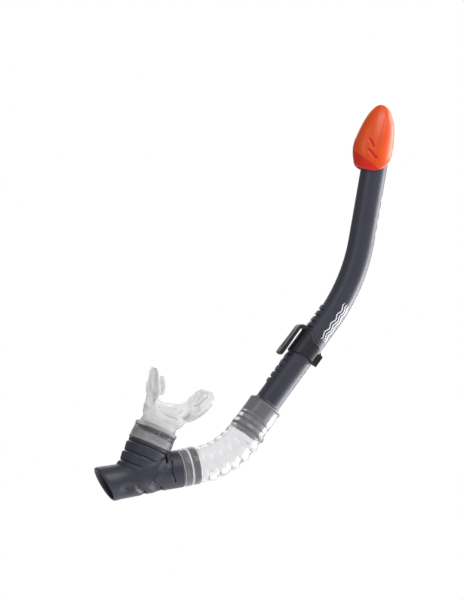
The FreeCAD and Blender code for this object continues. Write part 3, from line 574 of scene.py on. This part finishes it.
orange = plastic("orange_pp", (0.74, 0.074, 0.003), 0.34, 1100, 0.00005, speckle=0.05)
hood = moulded("splash_guard_hood_skin", hood_form, (-23.4, -15.0, -5.0), (14.6, 15.0, 58.6), 0.5,
               set_on(guard_foot, guard_outward, guard_up), orange)
# painted shade: darker red on the hood's downward facet and in its slots
paint_facet_shade(hood, orange)
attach(hood, "barrel")
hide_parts("splash_guard_hood")

for slot in frame["nodes"]["splash_guard_baffle"].material_slots:
    slot.material = orange


# Strap keeper
# A springy C-shaped collar of black acetal that snaps round the barrel and slides along its rack.
# A paddle bent down over the strap side holds the mask strap, and two thumb lips open the collar.

KEEPER_SLEEVE_R = 11.34
KEEPER_R = 13.31
KEEPER_LIPS = math.radians(34.5)   # each lip's turn from the middle of the opening
PADDLE_MIDDLE = 17.5       # from the barrel's axis to the middle of the paddle's thickness
PADDLE_TOP = 13.3
PADDLE_BEND = 3.3          # radius of the bend that joins its top and its front
PADDLE_HALF_WIDTH = 6.6
PADDLE_END = -14.9
PADDLE_HALF_THICKNESS = 1.45
KEEPER_LOWER = np.array([(-20.0, -12.5), (-12.0, -9.6), (1.0, -7.2), (9.0, -9.6), (20.0, -11.6)])
KEEPER_UPPER = np.array([(-20.0, 1.4), (-13.0, 1.8), (-7.0, 6.2), (2.0, 7.8), (8.5, 13.6),
                         (20.0, 15.0)])
strap_side = -leaning(lower_lean + math.pi / 2)
keeper_middle = -strap_side * (KEEPER_R + 1.5)


def keeper_form(local):
    out, across, up = local.T
    radius = np.hypot(out, across)
    edge = np.maximum(up - eased(out, *KEEPER_UPPER.T), eased(out, *KEEPER_LOWER.T) - up)
    turn = np.degrees(np.arctan2(np.abs(across), -out))
    collar = within(radius - KEEPER_R, edge, 0.9)
    collar = within(collar, (30 - turn) * radius * 0.0175, 0.8)
    beside = np.abs(across) * math.cos(KEEPER_LIPS) + out * math.sin(KEEPER_LIPS)
    outward = np.abs(across) * math.sin(KEEPER_LIPS) - out * math.cos(KEEPER_LIPS)
    flare = 0.035 * np.maximum(outward - 12, 0) ** 2
    lip = within(np.abs(beside - flare) - 0.85, outward - 17.3, 0.8)
    lip = within(np.maximum(lip, 11.5 - outward), edge + 0.4, 0.8)
    collar = joined(collar, lip, 1.6)
    bend_out, bend_up = PADDLE_MIDDLE - PADDLE_BEND, PADDLE_TOP - PADDLE_BEND
    front, top = np.abs(out - PADDLE_MIDDLE), np.abs(up - PADDLE_TOP)
    corner = np.hypot(np.maximum(out - bend_out, 0), np.maximum(up - bend_up, 0))
    beyond, over = out > bend_out, up > bend_up
    spine = np.where(beyond & over, np.abs(corner - PADDLE_BEND), np.where(over, top, front))
    inside = (out < 12.0) | ((up < bend_up) & (out < bend_out))
    spine = np.where(inside, np.maximum(front, 3), spine)
    tail = np.hypot(np.maximum(np.abs(across) - PADDLE_HALF_WIDTH / 2 - 0.1, 0),
                    np.maximum(PADDLE_END - up, 0)) - PADDLE_HALF_WIDTH / 2
    sides = np.maximum(np.abs(across) - PADDLE_HALF_WIDTH, tail - 0.2)
    paddle = within(spine - PADDLE_HALF_THICKNESS - 0.4 * swell(-up, -4, 14), sides, 1.0)
    paddle = np.maximum(paddle, 11.6 - out)
    groove = np.hypot(across, out - 19.6) - 1.35
    paddle = carved(paddle, np.maximum(groove, np.abs(up + 3) - 9), 0.5)
    keeper = joined(collar, paddle, 1.2)
    keeper = np.maximum(keeper, KEEPER_SLEEVE_R - radius)
    channel = np.maximum(np.abs(across) - RACK_HALF_WIDTH - 0.1, np.abs(out - 6) - 6.1)
    return carved(keeper, channel, 0.3)


black = plastic("black_acetal", (0.020, 0.019, 0.024), 0.30, 1300, 0.00006, speckle=0.12)
keeper = moulded("strap_keeper_skin", keeper_form, (-18.4, -14.6, -20.0), (20.0, 14.6, 16.4), 0.4,
                 set_on(keeper_middle, strap_side, lower_direction), black)
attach(keeper, "keeper")
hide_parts("strap_keeper")


# Hose
# One moulding of clear soft vinyl: a plain cuff on the barrel's spigot, a bend with broad ribs that
# are deepest on its outer side, and a short cuff with two rounded bands on the body's spigot.

HOSE_BEND_R = 67.5
UPPER_CUFF = 32.0
LOWER_CUFF = 16.9
GRIP = 0.15                # how far the soft cuffs are stretched by the spigots
RIBS_FROM_RIM = 22.0
RIB_PITCH = 9.2
RIB_DEPTH = 0.0019
CUFF_BANDS = (4.0, 11.7)   # middles of the lower cuff's two bands, from its end
BAND_HALF = 3.7
BAND_RIMS = (0.5, 7.85, 15.3)
HOSE_BORE_R = 13.0

body_direction = np.array(joints["body_swivel"]["axis"], float)
cuff_end = np.array(joints["body_swivel"]["pos_m"], float) * 1000
body_lean = math.atan2(body_direction[0], body_direction[2])
hose_bend = HOSE_BEND_R * (body_lean - lower_lean)
hose_length = UPPER_CUFF + hose_bend + LOWER_CUFF


def hose_line(along):
    """Middle of the hose and the direction of its outer side, from the distance to its rim."""
    return bent_line(along, hose_rim, -1, UPPER_CUFF, hose_bend, HOSE_BEND_R)


def hose_outside(along):
    """Radius of the hose's outer skin before its ribs."""
    radius = 14.75 - 0.25 * swell(along, 20, 34)
    radius = radius + 0.45 * np.exp(-((along - 1.3) / 1.1) ** 2)
    for from_end in CUFF_BANDS:
        off = (along - hose_length + from_end) / BAND_HALF
        radius = np.maximum(radius, 14.9 + 1.5 * np.sqrt(np.clip(1 - off ** 4, 0, 1)))
    return radius


def hose_inside(along, outer_side):
    """Radius of its bore: close round the two spigots, wider in the bend.

    The upper cuff stands a little off its spigot on the outer side and between the barbs.
    """
    slack = np.maximum(swell(outer_side, 0.15, 0.6), swell(along, 13, 15))
    slack = 0.45 * slack * swell(along, 1, 3)
    to_end = hose_length - along
    loose = np.exp(-((to_end - BAND_RIMS[1]) / 0.9) ** 2)
    loose = loose + swell(-to_end, -2.2, -1.2) + swell(to_end, 14.6, 15.6)
    on_spigot = 1 - swell(along, SPIGOT + 0.5, SPIGOT + 4)
    bore = HOSE_BORE_R - (HOSE_BORE_R - BARREL_R + GRIP - slack) * on_spigot
    lower = swell(along, hose_length - LOWER_CUFF - 1.0, hose_length - LOWER_CUFF + 0.5)
    return bore * (1 - lower) + (BARREL_R - GRIP + 0.7 * loose) * lower


def ribs_tree():
    """Ribs pushed out along the normals, deepest on the outer side and fading at both ends."""
    tree, given = new_tree("hose_ribs", ["Pitch", "First", "Last", "Depth", "Inner Share"])

    def maths(operation, a, b=0.0, clamp=False):
        return wired(tree, "ShaderNodeMath", {"operation": operation, "use_clamp": clamp},
                     in_0=a, in_1=b).outputs[0]

    along, outer_side, skin = [
        wired(tree, "GeometryNodeInputNamedAttribute", {"data_type": "FLOAT"}, Name=name).outputs[0]
        for name in ("along", "outer_side", "skin")]
    turns = maths("DIVIDE", maths("SUBTRACT", along, given["First"]), given["Pitch"])
    wave = maths("COSINE", maths("MULTIPLY", turns, 2 * math.pi))
    crest = maths("POWER", maths("ADD", maths("MULTIPLY", wave, -0.5), 0.5), 0.75)
    rise = maths("DIVIDE", maths("SUBTRACT", along, given["First"]), 5.0, clamp=True)
    fall = maths("DIVIDE", maths("SUBTRACT", given["Last"], along), 3.0, clamp=True)
    share = maths("MULTIPLY", maths("ADD", outer_side, 1.0), 0.5)
    rest = maths("SUBTRACT", 1.0, given["Inner Share"])
    share = maths("ADD", maths("MULTIPLY", share, rest), given["Inner Share"])
    depth = maths("MULTIPLY", maths("MULTIPLY", crest, share), maths("MULTIPLY", rise, fall))
    depth = maths("MULTIPLY", maths("MULTIPLY", depth, skin), given["Depth"])
    normal = tree.nodes.new("GeometryNodeInputNormal")
    offset = wired(tree, "ShaderNodeVectorMath", {"operation": "SCALE"}, in_0=normal.outputs[0],
                   Scale=depth)
    ribbed = wired(tree, "GeometryNodeSetPosition", Geometry=given["Geometry"],
                   Offset=offset.outputs[0])
    ended(tree, ribbed.outputs[0], given["Material"])
    return tree


def clear_plastic(name, tint, haze, roughness, wobble, ior, gloss=0.5):
    """See-through soft plastic: mostly clear, a little milky, its surface gently uneven."""
    material, tree, shader, place = started(name)
    shader["Transmission Weight"].default_value = 1 - haze
    shader["IOR"].default_value = ior
    shader["Specular IOR Level"].default_value = gloss
    cloud, fine = noise(tree, place, 70, 3), noise(tree, place, 420, 2)
    finished(tree, shader, ([c * 0.97 for c in tint], tint), cloud,
             (roughness * 0.7, roughness * 1.4), fine, (0.5, wobble), cloud)
    return material


def hose_piece(material):
    """Closed tube: the outer skin down to the lower cuff, then the bore back up."""
    around = 96
    down = np.linspace(0.4, hose_length - 0.4, 190)
    up = np.linspace(hose_length - 0.4, 0.4, 130)
    turn = np.arange(around) * 2 * math.pi / around
    side = np.cos(turn)
    outside = hose_outside(down)[:, None] + 0 * side
    inside = hose_inside(up[:, None], side)
    radius = np.concatenate([outside[:1] - 0.5, outside, outside[-1:] - 0.5,
                             inside[:1] + 0.4, inside, inside[-1:] + 0.4])
    along = np.concatenate([[0.0], down, [hose_length] * 2, up, [0.0]])
    skin = np.concatenate([[0.0], np.ones(len(down)), np.zeros(len(up) + 3)])
    middle, outward = hose_line(along)
    vertices = (middle[:, None] + outward[:, None] * (radius * side)[..., None]
                + np.array([0, 1, 0]) * (radius * np.sin(turn))[..., None]).reshape(-1, 3)
    count = len(along)
    faces = []
    for ring in range(count):
        here, there = ring * around, (ring + 1) % count * around
        for i in range(around):
            j = (i + 1) % around
            faces.append((here + i, there + i, there + j, here + j))
    piece = new_piece("hose_skin", vertices, faces, material)
    stored(piece, "along", np.repeat(along, around))
    stored(piece, "skin", np.repeat(skin, around))
    stored(piece, "outer_side", np.tile(side, count))
    return piece


def paint_rim_highlights(piece):
    """Painted highlights: the faces on the rims of the lower cuff's bands get a milkier vinyl, so they show as
    pale rings.
    """
    piece.data.materials.append(
        clear_plastic("rim_highlight_vinyl", (0.95, 0.955, 0.965), 0.80, 0.25, 0.0003, 1.40))
    read = {}
    for name in ("along", "skin"):
        read[name] = np.zeros(len(piece.data.vertices), np.float32)
        piece.data.attributes[name].data.foreach_get("value", read[name])
    for face in piece.data.polygons:
        corners = list(face.vertices)
        from_end = hose_length - read["along"][corners].mean()
        on_rim = any(abs(from_end - rim) < 0.6 for rim in BAND_RIMS)
        face.material_index = int(on_rim and read["skin"][corners].min() > 0.5)


vinyl = clear_plastic("clear_vinyl", (0.97, 0.973, 0.98), 0.13, 0.12, 0.0007, 1.38, gloss=0.22)
hose = hose_piece(vinyl)
evaluated_mesh(hose, ribs_tree(), {
    "Pitch": RIB_PITCH, "First": RIBS_FROM_RIM, "Last": hose_length - LOWER_CUFF + 1.0,
    "Depth": RIB_DEPTH, "Inner Share": 0.30, "Material": vinyl})
# painted highlights: pale rings on the rims of the lower cuff's bands
paint_rim_highlights(hose)
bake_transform(hose)
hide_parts("hose_upper_cuff", "hose_bellows", "hose_lower_cuff")


# Y body
# The slate ABS housing that joins hose, mouthpiece and drain: a slightly tapered tube cut off at a
# slant, a branch stepped like stacked bands, gill-like grooves under its flanks and a dimple for
# the thumb. Spigots with barbs and a ring hold the hose and the mouthpiece.

BODY_R = 16.4
BODY_FRONT = -2.8          # where its skin ends under the hose's cuff
STUB_R = 16.4              # the mouthpiece's cuff sits round it
STUB_RING_PROUD = 0.5
STUB_BORE_R = 14.2
BODY_SPIGOT = 13.0
GILL_SLANT = 0.93
GILL_EDGES = (-50.0, -34.8)
DIMPLE_R = 12.0
DIMPLE_CENTRE = (-54.4, 23.1, -11.2)
BRANCH_ROOT = -43.0        # along the body from the hose's cuff
BRANCH_TOP = 31.0
STUB_TOP = 45.5
BAND_PITCH = 9.3
branch_direction = np.array(joints["mouthpiece_swivel"]["axis"], float)
stub_top = np.array(joints["mouthpiece_swivel"]["pos_m"], float) * 1000
body_up = -leaning(body_lean + math.pi / 2)
branch_turn = body_lean - math.atan2(branch_direction[0], branch_direction[2])


def near_line(x, z, points):
    """Distance in the side view from a chain of points."""
    nearest = np.full(len(x), 1e3)
    for (x1, z1), (x2, z2) in zip(points, points[1:]):
        length = math.hypot(x2 - x1, z2 - z1)
        share = np.clip(((x - x1) * (x2 - x1) + (z - z1) * (z2 - z1)) / length ** 2, 0, 1)
        off = np.hypot(x - x1 - share * (x2 - x1), z - z1 - share * (z2 - z1))
        nearest = np.minimum(nearest, off)
    return nearest


def gills(x, z):
    """How far the flank is drawn in under each gill, deepest just before its edge."""
    slanted = x + GILL_SLANT * z
    first, second = GILL_EDGES
    depth = 2.2 * swell(slanted, -57, -51) * (slanted < first)
    depth += (0.5 + 1.9 * swell(slanted, -47, -36)) * ((slanted >= first) & (slanted < second))
    depth += (0.9 - 0.9 * swell(slanted, second, -16)) * (slanted >= second)
    return depth * (1 - swell(z, -8.5, -3.0)) * (0.45 + 0.55 * swell(z, -15.0, -10.0))


def body_form(local):
    x, y, z = local.T
    radius = np.hypot(y, z)
    outer_r = BODY_R - 1.2 * np.clip((-x - 0.3) / 56.7, 0, 1) + 0.9 * swell(-x, 57, 74)
    main = within(radius - outer_r + gills(x, z), x - BODY_FRONT, 1.0)
    for edge in ([(-17.0, 4.0), (-34.0, -6.0)], [(-22.8, 0.0), (-13.0, -9.8)]):
        main = main - 0.55 * np.exp(-(near_line(x, z, edge) / 1.3) ** 2)
    up = (x - BRANCH_ROOT) * math.cos(branch_turn) + z * math.sin(branch_turn)
    beside = (x - BRANCH_ROOT) * math.sin(branch_turn) - z * math.cos(branch_turn)
    half_depth = 15.6 + 3.2 * np.clip(up / BRANCH_TOP, 0, 1)
    band = np.mod((27.6 - up) / BAND_PITCH, 1)
    from_groove = band - 0.5 - 0.5 * np.sign(band - 0.5)
    bands = 1.1 - 1.2 * band - 1.3 * np.exp(-(from_groove / 0.09) ** 2)
    bands = bands * (up > 5) * (up < 29.6)
    bands = bands * (1 - swell(beside - 16 + (27 - up) * 0.95, -2.0, 1.0))
    branch = (np.hypot(beside / 18.5, y / half_depth) - 1) * half_depth - bands
    branch = within(branch, np.maximum(up - BRANCH_TOP, -4.5 - up), 0.8)
    body = joined(main, branch, 2.2)
    bent = near_line(x, z, [(-12.1, 8.2), (-13.9, 0.1), (-12.3, -9.2)]) - 0.75
    body = carved(body, np.maximum(bent, 14.9 - radius), 0.5)
    squared = 1 / math.hypot(1, GILL_SLANT)
    for place, top, foot in zip(GILL_EDGES, (-4.6, -3.6), (-14.0, -13.0)):
        slit = np.abs(x + GILL_SLANT * z - place) * squared - 0.55
        slit = np.maximum(slit, np.maximum(z - top, foot - z))
        body = carved(body, np.maximum(slit, 13.2 - radius), 0.5)
    corner = near_line(beside, up, [(14.6, 27.6), (17.3, 22.4)]) - 0.7
    corner = np.maximum(corner, 5 - np.abs(y))
    body = carved(body, np.maximum(corner, 13.5 - np.hypot(beside, y)), 0.4)
    for side in (-1, 1):
        centre = np.array(DIMPLE_CENTRE) * (1, side, 1)
        dimple = np.linalg.norm(local - centre, axis=1) - DIMPLE_R
        body = carved(body, dimple, 1.4)
    spigot = within(radius - BARREL_R, x - BODY_SPIGOT, SOFT_EDGE)
    spigot = joined(spigot, barbed(radius, BODY_SPIGOT - x, BARB_FROM_TIP, 2), 0.4)
    body = joined(body, np.maximum(spigot, -4 - x), 0.4)
    stub_r = np.hypot(beside, y)
    stub = within(stub_r - STUB_R, up - STUB_TOP, SOFT_EDGE)
    ring = within(stub_r - STUB_R - STUB_RING_PROUD, np.abs(up - STUB_TOP + 5.25) - 0.75, 0.5)
    stub = np.maximum(joined(stub, ring, 0.3), BRANCH_TOP - 3 - up)
    body = joined(body, stub, 0.4)
    recess = np.maximum(stub_r - 19.3, STUB_R - stub_r)
    recess = np.maximum(recess, np.maximum(BRANCH_TOP - up, up - 37.5))
    body = np.maximum(body, -recess)
    body = carved(body, np.maximum(radius - BARREL_BORE_R, BRANCH_ROOT - x), 0.5)
    body = carved(body, np.maximum(radius - 13.0, x + 49), 0.8)
    body = carved(body, np.maximum(radius - 12.2, x + 28.8), 0.5)
    body = carved(body, np.maximum(stub_r - STUB_BORE_R, -up), 0.6)
    return within(body, -(x + 71) * 0.9455 - z * 0.3256, 2.4)


housing = moulded("body_housing_skin", body_form, (-79.5, -20.2, -18.0), (14.4, 20.2, 44.0), 0.6,
                  set_on(cuff_end, body_direction, body_up), slate)
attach(housing, "y_body")
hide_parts("body_housing")


# Purge valve
# A spoked seat of slate ABS pressed into the drain, and on it a thin membrane of black silicone
# whose rim lifts to let water out. Both keep their frame shapes.

for slot in frame["nodes"]["purge_valve_seat"].material_slots:
    slot.material = slate
membrane = plastic("valve_silicone", (0.012, 0.012, 0.014), 0.55, 700, 0.00004)
for slot in frame["nodes"]["purge_valve_flap"].material_slots:
    slot.material = membrane


# Mouthpiece
# One moulding of clear silicone: a cuff that grips the body's stub, a neck that flattens towards
# the mouth, a curved shield with a beaded rim, and a bite tab on a web inside each wing.

SHIELD_R = 25.9            # to the middle of the shield's thickness
SHIELD_ARC = math.radians(66)
SHIELD_WING = 16.5
SHIELD_HALF_HEIGHT = 15.0
SHIELD_FROM_BITE = 14.0
SHIELD_HALF = 1.1          # half of its thickness
LEFT_WING_LONGER = 4.5
TAB_FROM_WING = 5.2
TAB_HALF = 1.3
CUFF_R = 18.9
CUFF_FOOT = -14.2
NECK_START_R = 17.7
NECK_BORE_R = 15.4
NECK_OVAL = (21.5, 11.5)
BORE_OVAL = (13.7, 8.7)

bite_mount = [m for m in frame["record"]["mounts"] if m["name"] == "mouth_bite"][0]
mouth_forward = np.array(bite_mount["axis"], float)
mouth_middle = np.array(bite_mount["pos_m"], float) * 1000 - mouth_forward * SHIELD_FROM_BITE
mouth_roll = math.radians(13.5)
branch_level = leaning(math.atan2(branch_direction[0], branch_direction[2]) + math.pi / 2)
mouth_across = (branch_level * math.cos(mouth_roll)
                + np.cross(mouth_forward, branch_level) * math.sin(mouth_roll))
mouth_up = np.cross(mouth_forward, mouth_across)
branch_side = np.cross(branch_direction, branch_level)


def shield_form(across, up, forward):
    """Curved plate with straight wings, rounded ends, a bead along its rim and the bite tabs."""
    sideways = np.abs(across) + 3.5 * swell(forward, 4, 26) * (across < 0)
    cosine, sine = math.cos(SHIELD_ARC), math.sin(SHIELD_ARC)
    angle = np.arctan2(sideways, SHIELD_R - forward + SHIELD_HALF)
    on_arc = angle < SHIELD_ARC
    arc_length = SHIELD_R * SHIELD_ARC
    arc_x = SHIELD_R * sine
    arc_z = SHIELD_HALF + SHIELD_R * (1 - cosine)
    run = (sideways - arc_x) * cosine + (forward - arc_z) * sine
    off_wing = (sideways - arc_x) * sine - (forward - arc_z) * cosine
    off_arc = np.hypot(sideways, forward - SHIELD_HALF - SHIELD_R) - SHIELD_R
    ahead = forward > arc_z - (arc_x - sideways) * 1.2
    off = np.where(on_arc, off_arc, np.where(ahead, off_wing, off_arc))
    travel = np.where(on_arc, SHIELD_R * angle, arc_length + np.maximum(run, 0))
    end = arc_length + SHIELD_WING - SHIELD_HALF_HEIGHT + LEFT_WING_LONGER * (across < 0)
    height = SHIELD_HALF_HEIGHT - 2.2 * np.exp(-(travel / 7.5) ** 2)
    round_end = np.hypot(travel - end, up) - SHIELD_HALF_HEIGHT
    rim = np.where(travel > end, round_end, np.abs(up) - height)
    plate = within(np.abs(off) - SHIELD_HALF, rim, 1.2)
    bead = np.hypot(off, rim + 1.3) - 1.55
    plate = joined(plate, bead, 0.9)
    inward = -off_wing - SHIELD_HALF
    tab_run = np.abs(run - 4.5) - 8.5
    pad = np.hypot(np.maximum(tab_run + 5.0, 0), np.maximum(np.abs(up) - 1.5, 0)) - 5.0
    tab = within(np.abs(inward - TAB_FROM_WING - 0.02 * up ** 2) - TAB_HALF, pad, 1.4)
    ridges = 0.15 * np.cos(run * 2 * math.pi / 3.4)
    tab = tab - np.where(inward > TAB_FROM_WING, ridges * swell(-pad, 0.5, 2), 0)
    web = np.maximum(np.abs(up) - 1.5, tab_run + 1.6)
    web = within(web, np.maximum(inward - 5.5, -inward - 0.5), SOFT_EDGE)
    return joined(plate, joined(tab, web, 1.6), 1.2)


def mouthpiece_form(points):
    from_stub = points - stub_top
    t = from_stub @ branch_direction
    level, side = from_stub @ branch_level, from_stub @ branch_side
    stub_r = np.hypot(level, side)
    cuff = within(stub_r - CUFF_R, np.maximum(t - 1.4, CUFF_FOOT - t), 1.0)
    lip = np.hypot(stub_r - 18.2, t + 13.0) - 1.2
    cuff = joined(cuff, lip, 0.6)
    from_mouth = points - mouth_middle
    across, up, forward = [from_mouth @ way for way in (mouth_across, mouth_up, mouth_forward)]
    share = np.clip(t / np.maximum(t - forward, 0.5), 0, 1)
    share = np.where(forward > 0, 1, np.where(t < 0, 0, share))
    eased_share = swell(share, 0, 1)
    middle = stub_top + (mouth_middle - stub_top) * share[:, None]
    wide = branch_level + (mouth_across - branch_level) * eased_share[:, None]
    deep = branch_side + (mouth_up - branch_side) * eased_share[:, None]
    offset = points - middle
    wide_by = (offset * wide).sum(1) / np.linalg.norm(wide, axis=1)
    deep_by = (offset * deep).sum(1) / np.linalg.norm(deep, axis=1)
    half_width = NECK_START_R + (NECK_OVAL[0] - NECK_START_R) * share ** 2
    half_width = half_width - 2.2 * np.sin(math.pi * np.minimum(share * 1.5, 1))
    half_depth = NECK_START_R + (NECK_OVAL[1] - NECK_START_R) * eased_share
    half_depth = half_depth - np.sin(math.pi * share)
    neck = (np.hypot(wide_by / half_width, deep_by / half_depth) - 1) * half_depth
    outer = within(neck, np.maximum(-t, forward - 13), SOFT_EDGE)
    bore_width, bore_depth = [NECK_BORE_R + (half - NECK_BORE_R) * eased_share
                              for half in BORE_OVAL]
    hollow = (np.hypot(wide_by / bore_width, deep_by / bore_depth) - 1) * bore_depth
    front = shield_form(across, up, forward)
    cavity = SHIELD_R - np.hypot(across, forward - SHIELD_HALF - SHIELD_R)
    piece = joined(cuff, np.maximum(outer, cavity), 1.0)
    piece = joined(piece, front, 7.0)
    piece = carved(piece, np.maximum(hollow, np.maximum(-t, forward - 9)), SOFT_EDGE)
    piece = np.maximum(piece, np.where(t < -0.1, 16.25 - stub_r, -9))
    groove = np.maximum(17.84 - stub_r, np.abs(t + 4.1) - 2.6)
    return np.maximum(piece, -groove)


silicone = clear_plastic("clear_silicone", (0.985, 0.987, 0.99), 0.28, 0.15, 0.0004, 1.37)
mouth_low, mouth_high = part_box("mouthpiece")
mouthpiece = moulded("mouthpiece_skin", mouthpiece_form, np.array(mouth_low) * 1000 - 8,
                     np.array(mouth_high) * 1000 + 8, 0.6, lambda points: points, silicone)
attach(mouthpiece, "mouth")
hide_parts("mouthpiece")


# Mouthpiece band
# A split ring of clear polycarbonate that clamps the cuff, snapped into a groove near its rim. Fine
# ribs run round it, and its two ends face each other across a small gap.

BAND_R = 18.7
BAND_TOP = -1.6            # from the stub's top
BAND_HEIGHT = 5.0
BAND_THICKNESS = 0.8
BAND_HALF_GAP = 0.6
BAND_RIB_PITCH = 1.25


def band_piece(material):
    """The ring's section, with four fine ribs, carried round to either side of the split."""
    ribs_at = np.linspace(-BAND_HEIGHT + 0.3, -0.3, 40)
    section = [(BAND_R - 0.18 + 0.2 * math.cos(height * 2 * math.pi / BAND_RIB_PITCH),
                BAND_TOP + height) for height in ribs_at]
    section += [(BAND_R - BAND_THICKNESS, BAND_TOP + height)
                for height in (-0.1, 0.1 - BAND_HEIGHT)]
    half_gap = BAND_HALF_GAP / BAND_R
    turns = np.linspace(half_gap - math.pi / 2, 1.5 * math.pi - half_gap, 150)
    vertices = []
    for turn in turns:
        away = branch_level * math.cos(turn) + branch_side * math.sin(turn)
        vertices += [stub_top + away * radius + branch_direction * height
                     for radius, height in section]
    size = len(section)
    faces = []
    for here in range(0, (len(turns) - 1) * size, size):
        for i in range(size):
            j = (i + 1) % size
            faces.append((here + i, here + size + i, here + size + j, here + j))
    return new_piece("mouthpiece_band_skin", vertices, faces, material)


band_clear = clear_plastic("clear_polycarbonate", (0.55, 0.55, 0.58), 0.04, 0.08, 0.0002, 1.45)
band = band_piece(band_clear)
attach(band, "mouth")
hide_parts("mouthpiece_band")


# Studio
# A pale floor well below the snorkel, a white surround, soft lights at the right, in front, at the
# back and at the left, and a long lens that looks across the tube's plane from a little left.

FLOOR_HALF = 1.2
FLOOR_Z = -0.45
AMBIENT = 0.27
CAMERA_DISTANCE = 6.0
FRAME_HEIGHT = 0.516
CAMERA_TURN = math.radians(15)
SENSOR_WIDTH = 36

floor_mesh = bpy.data.meshes.new("studio_floor")
floor_corners = [(x * FLOOR_HALF, y * FLOOR_HALF, FLOOR_Z)
                 for x, y in ((-1, -1), (1, -1), (1, 1), (-1, 1))]
floor_mesh.from_pydata(floor_corners, [], [(0, 1, 2, 3)])
floor_mesh.materials.append(plastic("floor_paper", (0.9, 0.9, 0.9), 0.8, 300, 0.0001, speckle=0.01))
floor = linked("studio_floor", floor_mesh)

world = bpy.data.worlds.new("studio_world")
bpy.context.scene.world = world
world.use_nodes = True
sky = world.node_tree
seen = wired(sky, "ShaderNodeLightPath")
through = wired(sky, "ShaderNodeMath", {"operation": "MINIMUM"},   # light through a clear part
                in_0=seen.outputs["Transmission Depth"], in_1=1)
heading = wired(sky, "ShaderNodeTexCoord")
facing = wired(sky, "ShaderNodeVectorMath", {"operation": "DOT_PRODUCT"},
               in_0=heading.outputs["Generated"], in_1=(0.259, 0.966, 0))
backdrop = wired(sky, "ShaderNodeMapRange",   # white behind the snorkel, grey beside it
                 Value=facing.outputs["Value"], From_Min=0.15, From_Max=0.93, To_Min=0.66)
lit = wired(sky, "ShaderNodeMix", in_0=through.outputs[0], in_2=AMBIENT, in_3=backdrop.outputs[0])
shade = wired(sky, "ShaderNodeMix", {"data_type": "RGBA"}, in_0=seen.outputs["Is Camera Ray"],
              in_6=lit.outputs[0], in_7=(1, 1, 1, 1))
sky.links.new(shade.outputs[2], sky.nodes["Background"].inputs["Color"])


def softbox(name, place, width, height, watts, target=(0, 0, 0)):
    """Rectangular area light aimed at a target, not seen through clear parts."""
    light = bpy.data.lights.new(name, "AREA")
    light.shape = "RECTANGLE"
    light.size = width
    light.size_y = height
    light.energy = watts
    lamp = linked(name, light)
    lamp.rotation_euler = (Vector(target) - Vector(place)).to_track_quat("-Z", "Y").to_euler()
    lamp.location = place
    lamp.visible_transmission = False


softbox("rim_right", (1.0, 0.17, -0.05), 0.7, 1.6, 24)
softbox("key_front", (0.4, -0.9, 0.95), 0.9, 0.9, 11)
softbox("rim_low", (0.62, 0.1, -0.40), 0.6, 0.5, 5, target=(0, 0, -0.02))
softbox("fill_back", (0.1, 1.1, 0.7), 0.9, 0.7, 4)
softbox("fill_left", (-1.0, -0.9, 0.6), 0.6, 0.9, 3)

camera_data = bpy.data.cameras.new("camera")
camera = linked("camera", camera_data)
bpy.context.scene.camera = camera
look_at = np.array([-0.0549, 0.0, 0.0332])
back = np.array([-math.sin(CAMERA_TURN), -math.cos(CAMERA_TURN), 0])
camera.location = look_at + back * CAMERA_DISTANCE
camera.rotation_euler = (math.pi / 2, 0, -CAMERA_TURN)
camera_data.sensor_width = SENSOR_WIDTH
camera_data.lens = SENSOR_WIDTH * CAMERA_DISTANCE / FRAME_HEIGHT
bpy.context.scene.view_settings.view_transform = "Standard"
